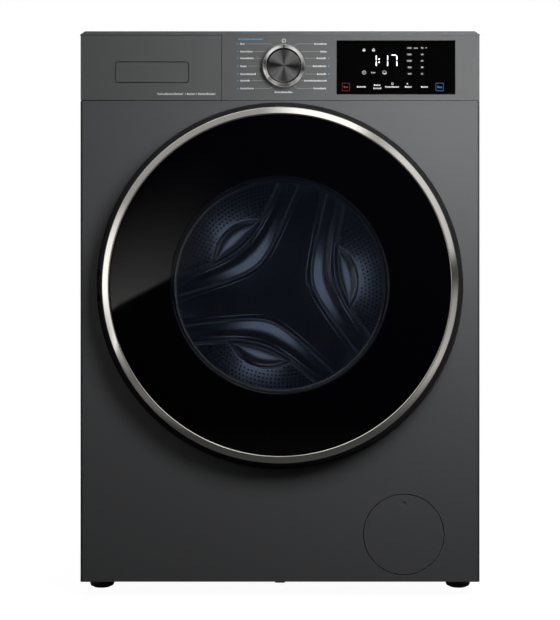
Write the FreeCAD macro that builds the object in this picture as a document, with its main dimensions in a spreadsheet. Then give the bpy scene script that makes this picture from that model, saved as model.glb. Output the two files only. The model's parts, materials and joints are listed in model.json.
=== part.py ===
import FreeCAD, Part
import math
import operator
import os

import Sketcher

# Front load washing machine. +Z is up and the front faces -Y. The origin is at the middle of the
# footprint, on the floor. Depths are measured back from the front plane of the cabinet, so a
# negative depth stands proud of it.

Vector = FreeCAD.Vector
Rotation = FreeCAD.Rotation

doc = FreeCAD.newDocument("FrontLoadWasher")

# ---------------------------------------------------------------- driving dimensions

DIMENSIONS = [
    # cabinet
    ("width", 597.0),
    ("height", 845.0),
    ("body_depth", 530.0),
    ("body_floor", 22.6),
    ("door_proud", 44.0),
    ("rear_proud", 16.0),
    ("skin", 1.0),
    ("flange", 18.0),
    ("corner", 3.7),
    ("lid_band", 5.9),
    ("lid_slope", 8.4),
    ("lid_core", 5.0),
    # control panel
    ("fascia_bottom", 741.5),
    ("fascia_proud", 2.0),
    ("fascia_deep", 18.0),
    ("wall", 2.5),
    ("gap", 0.5),
    ("flap_gap", 1.2),
    ("drawer_edge", 87.3),
    ("grip_left", 246.4),
    ("grip_right", 135.7),
    ("grip_bottom", 767.4),
    ("grip_top", 799.4),
    ("drawer_length", 215.0),
    ("knob_x", 5.8),
    ("knob_z", 791.0),
    ("knob_radius", 31.7),
    ("disc_radius", 25.9),
    ("screen_left", 84.3),
    ("screen_right", 261.6),
    ("screen_bottom", 750.2),
    ("screen_top", 830.9),
    ("screen_thick", 1.5),
    # door
    ("door_z", 465.0),
    ("rim_radius", 270.0),
    ("trim_outer", 260.8),
    ("trim_inner", 249.6),
    ("bowl_radius", 157.0),
    ("bowl_deep", 112.0),
    ("recess_radius", 274.0),
    ("recess_deep", 6.0),
    ("mouth_radius", 203.0),
    ("hinge_x", 252.0),
    ("hinge_proud", 20.0),
    ("hinge_pin", 3.0),
    ("latch_x", 222.0),
    ("latch_proud", 9.0),
    # tub and drum
    ("drum_z", 465.0),
    ("drum_radius", 242.0),
    ("drum_front", 98.0),
    ("drum_back", 392.0),
    ("drum_mouth", 172.0),
    ("tub_radius", 262.0),
    ("tub_front", 84.0),
    ("tub_split", 250.0),
    ("tub_back", 434.0),
    ("tub_mouth", 184.0),
    ("tub_wall", 4.0),
    ("shaft_front", 15.0),
    ("shaft_rear", 12.5),
    ("running_gap", 0.05),
    ("pulley_radius", 140.0),
    ("pinion_radius", 14.0),
    ("motor_z", 150.0),
    ("motor_radius", 52.0),
    ("belt_deep", 470.0),
    ("belt_width", 12.0),
    ("spring_x", 278.0),
    ("spring_top", 800.0),
    ("spring_bottom", 650.0),
    ("damper_x", 140.0),
    ("mid_deep", 270.0),
    # base
    ("flap_x", 184.8),
    ("flap_z", 93.8),
    ("flap_radius", 60.7),
    ("filter_radius", 30.0),
    ("foot_x", 276.0),
    ("foot_front", 73.0),
    ("foot_rear", 470.0),
    ("foot_radius", 18.8),
    ("stud_radius", 4.0),
    # rear fittings
    ("inlet_x", 200.0),
    ("inlet_z", 790.0),
    ("inlet_radius", 13.2),
    ("drain_x", 232.0),
    ("drain_z", 120.0),
    ("drain_radius", 10.0),
    ("gland_x", 232.0),
    ("gland_z", 170.0),
    ("cover_radius", 176.0),
]

sheet = doc.addObject("Spreadsheet::Sheet", "Dimensions")
for row, (alias, millimetres) in enumerate(DIMENSIONS, start=1):
    sheet.set(f"A{row}", alias)
    sheet.set(f"B{row}", str(millimetres))
    sheet.setAlias(f"B{row}", alias)
doc.recompute()


class Size:
    """A length worked out from the sheet: its number, and the expression that gives it."""

    def __init__(self, value, text):
        self.value = value
        self.text = text

    def __add__(self, other):
        return joined(self, "+", other)

    def __radd__(self, other):
        return joined(other, "+", self)

    def __sub__(self, other):
        return joined(self, "-", other)

    def __rsub__(self, other):
        return joined(other, "-", self)

    def __mul__(self, other):
        return joined(self, "*", other)

    def __rmul__(self, other):
        return joined(other, "*", self)

    def __truediv__(self, other):
        return joined(self, "/", other)

    def __neg__(self):
        return joined(0, "-", self)


SIGNS = {"+": operator.add, "-": operator.sub, "*": operator.mul, "/": operator.truediv}


def sized(number):
    """The same length as a Size, when it isn't one yet."""
    if isinstance(number, Size):
        return number
    return Size(float(number), f"({float(number)})")


def joined(first, sign, second):
    """Two lengths joined by a sign."""
    first = sized(first)
    second = sized(second)
    return Size(SIGNS[sign](first.value, second.value), f"({first.text} {sign} {second.text})")


class Sizes:
    """The sheet's cells by alias."""

    def __init__(self, rows):
        for alias, millimetres in rows:
            setattr(self, alias, Size(millimetres, f"Dimensions.{alias}"))


dim = Sizes(DIMENSIONS)
FRONT = (dim.door_proud - dim.rear_proud - dim.body_depth) / 2
NODES = []


def deep(depth):
    """The Y of a point that lies this far behind the front plane."""
    return FRONT + depth


# ---------------------------------------------------------------- building blocks


def bind(obj, prop, number):
    """Ties a property of an object to the sheet."""
    obj.setExpression(prop, sized(number).text)


def place(obj, x, y, z):
    """Ties an object's position to the sheet."""
    bind(obj, "Placement.Base.x", x)
    bind(obj, "Placement.Base.y", y)
    bind(obj, "Placement.Base.z", z)


def node(obj, label):
    """Marks an object as a finished sub-part and names it."""
    obj.Label = label
    NODES.append(obj)
    return obj


def block(x, y, z):
    """A box from one pair of limits along each axis."""
    obj = doc.addObject("Part::Box", "Block")
    bind(obj, "Length", x[1] - x[0])
    bind(obj, "Width", y[1] - y[0])
    bind(obj, "Height", z[1] - z[0])
    place(obj, x[0], y[0], z[0])
    return obj


TURNS = {
    "x": Rotation(Vector(0, 1, 0), 90),
    "y": Rotation(Vector(1, 0, 0), -90),
    "z": Rotation(),
}


def centred(axis, across, start):
    """The point at start along an axis, and at the two other coordinates in across."""
    if axis == "x":
        return start, across[0], across[1]
    if axis == "y":
        return across[0], start, across[1]
    return across[0], across[1], start


def rod(axis, across, limits, radius):
    """A round bar along an axis, centred at the two other coordinates."""
    obj = doc.addObject("Part::Cylinder", "Rod")
    bind(obj, "Radius", radius)
    bind(obj, "Height", limits[1] - limits[0])
    obj.Placement.Rotation = TURNS[axis]
    place(obj, *centred(axis, across, limits[0]))
    return obj


def cone(axis, across, limits, radii):
    """A tapered bar along an axis."""
    obj = doc.addObject("Part::Cone", "Cone")
    bind(obj, "Radius1", radii[0])
    bind(obj, "Radius2", radii[1])
    bind(obj, "Height", limits[1] - limits[0])
    obj.Placement.Rotation = TURNS[axis]
    place(obj, *centred(axis, across, limits[0]))
    return obj


def fused(*pieces):
    """One solid from several."""
    obj = doc.addObject("Part::MultiFuse", "Fusion")
    obj.Shapes = list(pieces)
    obj.Refine = True
    return obj


def cut(base, *tools):
    """The base without the tools."""
    obj = doc.addObject("Part::Cut", "Cut")
    obj.Base = base
    obj.Tool = tools[0] if len(tools) == 1 else grouped(*tools)
    return obj


def grouped(*pieces):
    """Several solids that stay separate."""
    obj = doc.addObject("Part::Compound", "Group")
    obj.Links = list(pieces)
    return obj


def tube(axis, across, limits, outer, inner):
    """A round pipe along an axis."""
    return cut(rod(axis, across, limits, outer), rod(axis, across, limits, inner))


def near(shape, points):
    """The names of the edges that pass through the points."""
    names = []
    for number, edge in enumerate(shape.Edges, start=1):
        if any(edge.distToShape(Part.Vertex(point))[0] < 0.05 for point in points):
            names.append(f"Edge{number}")
    return names


def rounded(base, radius, points):
    """The base with its edges through the points rounded."""
    doc.recompute()
    obj = doc.addObject("Part::Fillet", "Fillet")
    obj.Base = base
    numbers = [int(name[4:]) for name in near(base.Shape, points)]
    obj.Edges = [(number, radius, radius) for number in numbers]
    return obj


# ---------------------------------------------------------------- sketches and bodies


def plane(body, role):
    """One of a body's own origin planes or axes."""
    return next(item for item in body.Origin.OriginFeatures if item.Role == role)


def arc(start, end, radius):
    """The short arc between two points. A positive radius turns left, a negative one right."""
    chord = end - start
    rise = math.sqrt(radius**2 - (chord.Length / 2) ** 2)
    side = Vector(-chord.y, chord.x, 0).normalize() * math.copysign(rise, radius)
    centre = (start + end) / 2 + side
    angles = [math.atan2(point.y - centre.y, point.x - centre.x) for point in (start, end)]
    if radius < 0:
        angles.reverse()
    return Part.ArcOfCircle(Part.Circle(centre, Vector(0, 0, 1), abs(radius)), *angles)


def tie(sketch, kind, *members, to):
    """Adds a dimension to a sketch and ties it to the sheet."""
    number = sketch.addConstraint(Sketcher.Constraint(kind, *members, sized(to).value))
    if isinstance(to, Size):
        sketch.setExpression(f"Constraints[{number}]", to.text)


def pin_point(sketch, line, end, point):
    """Ties a point of a sketch to its place."""
    if not isinstance(point[0], Size) and point[0] == 0:
        sketch.addConstraint(Sketcher.Constraint("PointOnObject", line, end, -2))
    else:
        tie(sketch, "DistanceX", -1, 1, line, end, to=point[0])
    tie(sketch, "DistanceY", -1, 1, line, end, to=point[1])


def loop(sketch, points):
    """Draws a closed outline. A third number at a point is the radius of the arc that leaves it."""
    spots = [Vector(sized(point[0]).value, sized(point[1]).value, 0) for point in points]
    ends = []
    for index, point in enumerate(points):
        start = spots[index]
        finish = spots[(index + 1) % len(spots)]
        if len(point) == 3:
            line = sketch.addGeometry(arc(start, finish, sized(point[2]).value))
            ends.append((line, 1, 2) if sized(point[2]).value > 0 else (line, 2, 1))
        else:
            ends.append((sketch.addGeometry(Part.LineSegment(start, finish)), 1, 2))
    for index, (line, start_end, finish_end) in enumerate(ends):
        following = ends[(index + 1) % len(ends)]
        joint = (line, finish_end, following[0], following[1])
        sketch.addConstraint(Sketcher.Constraint("Coincident", *joint))
        pin_point(sketch, line, start_end, points[index])
        if len(points[index]) == 3:
            radius = points[index][2]
            tie(sketch, "Radius", line, to=radius if sized(radius).value > 0 else -radius)


def ring(sketch, centre, radius):
    """Draws a circle."""
    spot = Vector(sized(centre[0]).value, sized(centre[1]).value, 0)
    line = sketch.addGeometry(Part.Circle(spot, Vector(0, 0, 1), sized(radius).value))
    pin_point(sketch, line, 3, centre)
    tie(sketch, "Radius", line, to=radius)


def sketched(body, role):
    """An empty sketch on one of a body's origin planes."""
    sketch = body.newObject("Sketcher::SketchObject", "Sketch")
    sketch.AttachmentSupport = [(plane(body, role), "")]
    sketch.MapMode = "FlatFace"
    return sketch


def turned(points, axis="y", x=0, y=FRONT, z=0):
    """A body of revolution from a half section of radius and height along its axis."""
    body = doc.addObject("PartDesign::Body", "Body")
    sketch = sketched(body, "XY_Plane" if axis == "y" else "XZ_Plane")
    loop(sketch, points)
    feature = body.newObject("PartDesign::Revolution", "Revolution")
    feature.Profile = sketch
    feature.ReferenceAxis = (sketch, ["V_Axis"])
    feature.Angle = 360.0
    place(body, x, y, z)
    return body


def padded(role, points, length, x=0, y=0, z=0, holes=()):
    """A body that is one outline, drawn on a plane and padded."""
    body = doc.addObject("PartDesign::Body", "Body")
    sketch = sketched(body, role)
    loop(sketch, points)
    for centre, radius in holes:
        ring(sketch, centre, radius)
    feature = body.newObject("PartDesign::Pad", "Pad")
    feature.Profile = sketch
    bind(feature, "Length", length)
    place(body, x, y, z)
    return body


def softened(body, kind, radius, points):
    """Rounds or bevels the edges of a body through the points, given in the body's own frame."""
    doc.recompute()
    tip = body.Tip
    feature = body.newObject(f"PartDesign::{kind}", kind)
    feature.Base = (tip, near(tip.Shape, points))
    bind(feature, "Radius" if kind == "Fillet" else "Size", radius)
    return body


# ---------------------------------------------------------------- cabinet


def side_panels():
    """Two steel sides, each with a rounded front corner and a return flange front and back."""
    for name, sign in (("side_panel_left", -1), ("side_panel_right", 1)):
        outer = sign * dim.width / 2
        inner = sign * (dim.width / 2 - dim.skin)
        edge = sign * (dim.width / 2 - dim.flange)
        back = dim.body_depth
        section = [
            (outer, 0),
            (outer, back),
            (edge, back),
            (edge, back - dim.skin),
            (inner, back - dim.skin),
            (inner, dim.skin),
            (edge, dim.skin),
            (edge, 0),
        ]
        height = dim.height - dim.lid_band - dim.body_floor
        panel = padded("XY_Plane", section, height, y=FRONT, z=dim.body_floor)
        middle = height.value / 2
        softened(panel, "Fillet", dim.corner - dim.skin, [Vector(inner.value, 1.0, middle)])
        softened(panel, "Fillet", dim.corner, [Vector(outer.value, 0, middle)])
        reach = sorted([inner, sign * (dim.spring_x - 14)], key=lambda size: size.value)
        bracket = block(
            reach,
            (deep(dim.mid_deep - 14), deep(dim.mid_deep + 14)),
            (dim.spring_top + 2, dim.spring_top + 5),
        )
        control_panel = block(
            (-dim.width, dim.width),
            (deep(-5), deep(dim.fascia_deep + 0.4)),
            (dim.fascia_bottom - dim.gap, dim.height),
        )
        holes = [rod("y", spot, (deep(back - 5), deep(back + 5)), 1.9) for spot in panel_spots()]
        node(cut(fused(panel, bracket), control_panel, *holes), name)


def front_panel():
    """Sheet steel front with a dished round recess, a mouth and a round service hole."""
    side = dim.width / 2 - dim.corner
    low = dim.body_floor + dim.gap
    high = dim.fascia_bottom - dim.gap
    plate = block((-side, side), (deep(-dim.skin), deep(0)), (low, high))
    hole = rod("y", (0, dim.door_z), (deep(-10), deep(10)), dim.recess_radius)
    service = rod("y", (dim.flap_x, dim.flap_z), (deep(-10), deep(10)), dim.flap_radius)
    outer = dim.recess_radius + 0.5
    floor = dim.recess_deep
    lip = dim.mouth_radius
    dish = turned(
        [
            (outer, -dim.skin),
            (outer, floor),
            (lip + 4, floor),
            (lip, floor + 4),
            (lip, floor + 12),
            (lip - 1, floor + 12),
            (lip - 1, floor + 3.5),
            (lip + 3.5, floor - 1),
            (outer - 4, floor - 1),
            (outer - 1, floor - 4),
            (outer - 1, -dim.skin),
        ],
        y=FRONT,
        z=dim.door_z,
    )
    latch_slot = block(
        (dim.latch_x - 14, dim.latch_x + 14), (deep(0), deep(20)), (dim.door_z - 9, dim.door_z + 9)
    )
    inside = dim.width / 2 - dim.flange - dim.gap
    returns = [
        block((-inside, inside), (deep(0), deep(12)), (low, low + dim.skin)),
        block((-inside, inside), (deep(0), deep(12)), (high - dim.skin, high)),
    ]
    whole = fused(cut(plate, hole, service), dish, *returns)
    node(cut(whole, latch_slot), "front_panel")


def screw(x, y, z, direction=1):
    """A pan head screw along Y whose head lies on the surface at y."""
    head = cone("y", (x, z), (y, y + 2.2), (4.0, 2.6))
    shank = rod("y", (x, z), (y - 8, y), 1.9)
    slot = block((x - 0.5, x + 0.5), (y + 1.4, y + 3), (z - 3, z + 3))
    return cut(fused(head, shank), slot)


def cover_spots():
    """The places of the service cover's screws, as x and z."""
    reach = dim.cover_radius.value - 6
    angles = [math.radians(30 + 60 * number) for number in range(6)]
    return [(reach * math.cos(turn), dim.drum_z + reach * math.sin(turn)) for turn in angles]


def panel_spots():
    """The places of the rear panel's edge screws, as x and z."""
    side = dim.width / 2 - 10
    return [(sign * side, z) for sign in (-1, 1) for z in (70, 330, 590, 825)]


TRANSIT = [(-165, 235), (165, 235), (-165, 690), (150, 690)]


def rear():
    """Rear panel with its round service cover, screws and the caps of the transit holes."""
    back = deep(dim.body_depth)
    side = dim.width / 2 - 2
    low = dim.body_floor + dim.gap
    high = dim.height - dim.lid_band - dim.gap
    plate = block((-side, side), (back, back + dim.skin), (low, high))
    openings = [
        rod("y", (0, dim.drum_z), (back - 5, back + 5), dim.cover_radius - 12),
        rod("y", (dim.inlet_x, dim.inlet_z), (back - 5, back + 5), dim.inlet_radius + 2.6),
        rod("y", (dim.drain_x, dim.drain_z), (back - 5, back + 5), dim.drain_radius + 4),
        rod("y", (dim.gland_x, dim.gland_z), (back - 5, back + 5), 7),
    ]
    openings += [rod("y", spot, (back - 5, back + 5), 12) for spot in TRANSIT]
    for x, z in cover_spots() + panel_spots():
        openings.append(rod("y", (x, z), (back - 5, back + 5), 1.9))
    ribs = []
    for index in range(5):
        height = 600 + 22 * index
        ribs.append(block((215, 275), (back, back + 2.4), (height, height + 8)))
        ribs.append(block((-275, -215), (back, back + 2.4), (height, height + 8)))
    node(cut(fused(plate, *ribs), *openings), "rear_panel")

    radius = dim.cover_radius
    face = dim.body_depth + dim.skin
    dish = turned(
        [
            (0, face + 7),
            (0, face + 8.2),
            (radius - 30, face + 8.2),
            (radius - 16, face + 1.2),
            (radius, face + 1.2),
            (radius, face),
            (radius - 16.4, face),
            (radius - 30.4, face + 7),
        ],
        z=dim.drum_z,
    )
    holes = [rod("y", spot, (back - 5, back + 5), 1.9) for spot in cover_spots()]
    node(cut(dish, *holes), "rear_cover")

    heads = [screw(x, back + dim.skin + 1.2, z) for x, z in cover_spots()]
    heads += [screw(x, back + dim.skin, z) for x, z in panel_spots()]
    node(grouped(*heads), "rear_screws")

    caps = []
    for spot in TRANSIT:
        head = cone("y", spot, (back + dim.skin, back + dim.skin + 3), (17, 14))
        caps.append(fused(head, rod("y", spot, (back - 6, back + dim.skin), 12)))
    node(grouped(*caps), "transit_caps")


def rear_fittings():
    """Water inlet valve, drain outlet and the mains lead's gland."""
    back = deep(dim.body_depth)
    spot = (dim.inlet_x, dim.inlet_z)
    body = block(
        (dim.inlet_x - 22, dim.inlet_x + 22), (back - 42, back), (dim.inlet_z - 20, dim.inlet_z + 20)
    )
    coils = [
        rod("z", (dim.inlet_x + shift, back - 26), (dim.inlet_z - 48, dim.inlet_z - 20), 11)
        for shift in (-12, 12)
    ]
    nozzle = rod("x", (back - 26, dim.inlet_z), (dim.inlet_x - 48, dim.inlet_x - 22), 7)
    thread = rod("y", spot, (back, back + dim.rear_proud), dim.inlet_radius)
    bore = rod("y", spot, (back - 20, back + dim.rear_proud + 1), dim.inlet_radius - 3.5)
    node(cut(fused(body, *coils, nozzle, thread), bore), "inlet_valve")

    spot = (dim.drain_x, dim.drain_z)
    plate = block(
        (dim.drain_x - 20, dim.drain_x + 20), (back - 3, back), (dim.drain_z - 20, dim.drain_z + 20)
    )
    spigot = rod("y", spot, (back - 30, back + dim.rear_proud - 1), dim.drain_radius)
    bore = rod("y", spot, (back - 31, back + dim.rear_proud), dim.drain_radius - 2)
    node(cut(fused(plate, spigot), bore), "drain_outlet")

    spot = (dim.gland_x, dim.gland_z)
    shell = fused(
        rod("y", spot, (back + dim.skin, back + 3.5), 11),
        cone("y", spot, (back + 3.5, back + 12), (9, 6.5)),
        rod("y", spot, (back - 12, back + dim.skin), 7),
    )
    bore = rod("y", spot, (back - 13, back + 13), 3.6)
    node(cut(shell, bore), "cable_gland")


def top_cover():
    """Lid with sloped ends, rounded long edges and a core board under it."""
    half = dim.width / 2
    low = dim.height - dim.lid_band
    shelf = [
        (-half, low),
        (half, low),
        (half, low + 0.2),
        (half - dim.lid_slope, dim.height),
        (-half + dim.lid_slope, dim.height),
        (-half, low + 0.2),
    ]
    length = dim.body_depth + 4
    top = padded("XZ_Plane", shelf, length, y=deep(dim.body_depth + 2))
    reach = [Vector(0, 0, dim.height.value), Vector(0, -length.value, dim.height.value)]
    softened(top, "Fillet", 2.0, reach)
    core = block(
        (-half + 12, half - 12),
        (deep(40), deep(dim.body_depth - 12)),
        (low - dim.lid_core, low),
    )
    node(fused(top, core), "top_cover")


def base_pan():
    """Moulded base with a rim, foot bosses, damper seats and a small lip at the front."""
    side = dim.width / 2 - dim.skin - 1
    low = dim.body_floor
    outer = block((-side, side), (deep(2), deep(dim.body_depth - 3)), (low + 2, low + 42))
    inner = block((-side + 3, side - 3), (deep(14), deep(dim.body_depth - 6)), (low + 5, low + 50))
    bosses = []
    bores = []
    for x in (-dim.foot_x, dim.foot_x):
        for depth in (dim.foot_front, dim.foot_rear):
            spot = (x, deep(depth))
            bosses.append(rod("z", spot, (low, low + 40), 13))
            bores.append(rod("z", spot, (low - 5, low + 60), dim.stud_radius + 0.3))
    seats = [
        block(
            (x - 16, x + 16), (deep(dim.mid_deep - 16), deep(dim.mid_deep + 16)), (low + 3, low + 16)
        )
        for x in (-dim.damper_x, dim.damper_x)
    ]
    lip = block((-7.3, 7.3), (deep(12.5), deep(18)), (low - 4, low + 3))
    pump_way = rod("y", (dim.flap_x, dim.flap_z), (deep(-1), deep(30)), dim.flap_radius + 3.3)
    motor_slot = block((-70, 70), (deep(310), deep(450)), (low - 5, low + 20))
    grid = [
        block((-70, 70), (deep(310 + 35 * step), deep(314 + 35 * step)), (low + 2, low + 5))
        for step in range(5)
    ]
    tray = fused(cut(outer, inner), *bosses, *seats, lip)
    node(fused(cut(tray, motor_slot, pump_way, *bores), *grid), "base_pan")


def feet():
    """Four levelling feet, each a tapered pad on a threaded stud, with one locknut each."""
    nuts = []
    names = {
        "foot_front_left": (-1, dim.foot_front),
        "foot_front_right": (1, dim.foot_front),
        "foot_rear_left": (-1, dim.foot_rear),
        "foot_rear_right": (1, dim.foot_rear),
    }
    pad_top = 13.5
    for name, (sign, depth) in names.items():
        x = sign * dim.foot_x
        stud = dim.stud_radius
        foot = turned(
            [
                (0, 0),
                (dim.foot_radius - 6, 0),
                (dim.foot_radius - 1.2, 2.4),
                (dim.foot_radius, 6),
                (dim.foot_radius, pad_top - 2),
                (dim.foot_radius - 1.5, pad_top),
                (stud + 5, pad_top),
                (stud + 5, pad_top + 2),
                (stud, pad_top + 2),
                (stud, dim.body_floor + 58),
                (0, dim.body_floor + 58),
            ],
            axis="z",
            x=x,
            y=deep(depth),
        )
        node(foot, name)
        corners = [math.radians(60 * number) for number in range(6)]
        hexagon = [(7.5 * math.cos(turn), 7.5 * math.sin(turn)) for turn in corners]
        nut = padded(
            "XY_Plane",
            hexagon,
            6.0,
            x=x,
            y=deep(depth),
            z=dim.body_floor - 6.3,
            holes=[((0, 0), stud + 0.15)],
        )
        nuts.append(nut)
    node(grouped(*nuts), "foot_nuts")


# ---------------------------------------------------------------- control panel


def fascia():
    """Moulded control panel: a hollow front on the right and a frame behind the drawer."""
    left = -dim.drawer_edge + dim.gap
    right = dim.width / 2 - 0.9
    low = dim.fascia_bottom
    high = dim.height - dim.lid_band - 0.3
    front = deep(-dim.fascia_proud)
    back = deep(dim.fascia_deep)
    shell = block((left, right), (front, back), (low, high))
    room = block(
        (left + dim.wall, right - dim.wall),
        (front + dim.wall, back + 1),
        (low + dim.wall, high - dim.wall),
    )
    screen = block(
        (dim.screen_left, dim.screen_right),
        (front - 1, front + dim.screen_thick),
        (dim.screen_bottom, dim.screen_top),
    )
    window = block(
        (dim.screen_left + 18, dim.screen_right - 18),
        (front, front + 5),
        (dim.screen_bottom + 18, dim.screen_top - 8),
    )
    spindle_hole = rod("y", (dim.knob_x, dim.knob_z), (front - 1, front + 5), 7.0)
    frame = block((-dim.width / 2 + 1, left), (back - 4.6, back), (low, high))
    tray_hole = block(
        (-dim.width / 2 + 12, left - 12), (back - 10, back + 10), (low + 8, high - 6)
    )
    panel = cut(shell, room, screen, window, spindle_hole)
    node(fused(panel, cut(frame, tray_hole)), "fascia")

    clear = 0.15
    glass = block(
        (dim.screen_left + clear, dim.screen_right - clear),
        (front - 0.3, front + dim.screen_thick),
        (dim.screen_bottom + clear, dim.screen_top - clear),
    )
    node(glass, "display_glass")


def control_board():
    """Circuit board behind the panel with its chips, connectors and the programme encoder."""
    front = deep(-dim.fascia_proud)
    board = block((-40, dim.screen_right + 12), (front + 14, front + 15.6), (752, 826))
    chips = [
        block((x, x + wide), (front + 12, front + 14), (z, z + tall))
        for x, z, wide, tall in ((120, 790, 14, 14), (170, 770, 22, 10), (60, 800, 10, 18))
    ]
    plugs = [block((x, x + 18), (front + 15.6, front + 19.6), (756, 766)) for x in (90, 130, 200)]
    keys = [rod("y", (100 + 22 * step, 762), (front + 11, front + 14), 4) for step in range(8)]
    digits = block((145, 215), (front + 5, front + 14), (785, 812))
    encoder = block(
        (dim.knob_x - 10, dim.knob_x + 10), (front + 6, front + 14), (dim.knob_z - 10, dim.knob_z + 10)
    )
    socket = rod("y", (dim.knob_x, dim.knob_z), (front + 1, front + 13), 3.1)
    parts = fused(board, *chips, *plugs, *keys, digits, encoder)
    node(cut(parts, socket), "control_board")


def knob():
    """Programme knob: a bright ring round a spun metal disc on a spindle."""
    face = dim.fascia_proud
    turned_ring = turned(
        [
            (dim.disc_radius, -face - 0.5),
            (dim.disc_radius, -face - 11.2),
            (dim.disc_radius + 0.8, -face - 12),
            (dim.knob_radius - 2.2, -face - 12, 2.2),
            (dim.knob_radius, -face - 9.8),
            (dim.knob_radius, -face - 0.5),
        ],
        x=dim.knob_x,
        z=dim.knob_z,
    )
    notch = block(
        (dim.knob_x - 0.9, dim.knob_x + 0.9),
        (deep(-face - 13), deep(-face - 10.6)),
        (dim.knob_z + dim.disc_radius - 1, dim.knob_z + dim.knob_radius + 1),
    )
    node(cut(turned_ring, notch), "knob_ring")
    disc = turned(
        [
            (0, -face - 12.4),
            (dim.disc_radius - 1.2, -face - 12.4),
            (dim.disc_radius, -face - 11.2),
            (dim.disc_radius, -face - 1),
            (6, -face - 1),
            (6, -face + 2),
            (3, -face + 2),
            (3, -face + 12),
            (0, -face + 12),
        ],
        x=dim.knob_x,
        z=dim.knob_z,
    )
    node(disc, "knob_disc")


def drawer():
    """Detergent drawer: front, three chambers, a softener siphon and a sprung grip flap."""
    left = -dim.width / 2 + 1
    right = -dim.drawer_edge - 0.2
    low = dim.fascia_bottom + 0.4
    high = dim.height - dim.lid_band - 0.7
    front = deep(-dim.fascia_proud)
    slab = block((left, right), (front, front + 15), (low, high))
    grip = ((-dim.grip_left, -dim.grip_right), (dim.grip_bottom, dim.grip_top))
    recess = block(grip[0], (front - 1, front + 13), grip[1])
    middle = ((grip[0][0] + grip[0][1]) / 2).value
    corners = [
        Vector(x.value, (front + 6).value, z.value) for x in grip[0] for z in grip[1]
    ]
    node(cut(slab, rounded(recess, 5.0, corners)), "drawer_front")

    clear = dim.flap_gap
    flap = block(
        (grip[0][0] + clear, grip[0][1] - clear),
        (front, front + 2.5),
        (grip[1][0] + clear, grip[1][1] - clear),
    )
    flap_corners = [
        Vector(
            x.value + side * clear.value, (front + 1.2).value, z.value + lift * clear.value
        )
        for x, side in zip(grip[0], (1, -1))
        for z, lift in zip(grip[1], (1, -1))
    ]
    node(rounded(flap, 3.8, flap_corners), "handle_flap")

    tray_left = -dim.width / 2 + 16
    tray_right = -dim.drawer_edge - 15
    tray_low = dim.fascia_bottom + 13
    tray_high = dim.height - dim.lid_band - 17
    tail = front + dim.drawer_length
    tray = block((tray_left, tray_right), (front + 15, tail), (tray_low, tray_high))
    span = tray_right - tray_left
    rooms = [(0.0, 0.42), (0.42, 0.66), (0.66, 1.0)]
    chambers = [
        block(
            (tray_left + span * start + 2, tray_left + span * end - (2 if end == 1 else 0)),
            (front + 17, tail - 2),
            (tray_low + 2, tray_high + 1),
        )
        for start, end in rooms
    ]
    node(cut(tray, *chambers), "drawer_tray")

    start = tray_left + span * 0.42 + 2.5
    end = tray_left + span * 0.66 - 0.5
    cap = block((start, end), (front + 150, front + 205), (tray_high - 8, tray_high - 5))
    stem = rod("z", ((start + end) / 2, front + 178), (tray_low + 6, tray_high - 5), 5)
    node(fused(cap, stem), "siphon_cap")

    shell = block(
        (tray_left - 6, tray_right + 6),
        (deep(dim.fascia_deep), tail + 14),
        (tray_low - 4, tray_high + 4),
    )
    room = block(
        (tray_left - 4, tray_right + 4),
        (deep(dim.fascia_deep) - 1, tail + 12),
        (tray_low - 2, tray_high + 2),
    )
    outlet = rod("z", (-200, deep(160)), (tray_low - 16, tray_low - 3), 14)
    drain = rod("z", (-200, deep(160)), (tray_low - 20, tray_low), 12)
    node(cut(fused(shell, outlet), room, drain), "dispenser_housing")
    hose_top = tray_low - 16.3
    node(tube("z", (-200, deep(160)), (655, hose_top), 16, 13), "dispenser_hose")


# ---------------------------------------------------------------- door


def door_shell():
    """Door rim, bright trim ring, domed outer glass, glass bowl and inner frame."""
    rim = dim.rim_radius
    outer = dim.trim_outer
    inner = dim.trim_inner
    ledge = inner - 10
    shell = turned(
        [
            (dim.bowl_radius + 17, -27),
            (dim.bowl_radius + 17, -30),
            (ledge, -30),
            (ledge, -34),
            (inner, -34),
            (inner, -30),
            (outer, -30),
            (outer, -37),
            (rim, -16),
            (rim, -8),
            (rim - 8, -2),
            (rim - 11, -2),
            (rim - 11, -27),
        ],
        z=dim.door_z,
    )
    node(cut(shell, *arm_slots()), "door_rim")

    trim = turned(
        [
            (inner, -30),
            (inner, -37.5),
            (inner + 2, -39.8, 9),
            (outer - 1.8, -39.8, 3),
            (outer, -37.2),
            (outer, -30),
        ],
        z=dim.door_z,
    )
    node(trim, "door_trim_ring")

    edge = inner - 0.3
    dome = edge * edge / 12 + 3
    glass = turned(
        [
            (0, -dim.door_proud, dome),
            (edge, -dim.door_proud + 6),
            (edge, -dim.door_proud + 10, -dome),
            (0, -dim.door_proud + 4),
        ],
        z=dim.door_z,
    )
    node(glass, "door_glass")

    bowl = dim.bowl_radius
    far = dim.bowl_deep
    outer_floor = bowl - 51
    inner_floor = bowl - 52
    crown = 3
    bowl_body = turned(
        [
            (bowl + 15, -25),
            (bowl + 15, -21),
            (bowl, -21),
            (bowl - 3, 20),
            (bowl - 35, far - 16, 16),
            (outer_floor, far - crown, outer_floor * outer_floor / (2 * crown) + crown / 2),
            (0, far),
            (0, far - 4, -(inner_floor * inner_floor / (2 * crown) + crown / 2)),
            (inner_floor, far - 4 - crown, -12),
            (bowl - 38.7, far - 17.6),
            (bowl - 7, 19),
            (bowl - 4, -25),
        ],
        z=dim.door_z,
    )
    node(bowl_body, "door_bowl")


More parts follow.
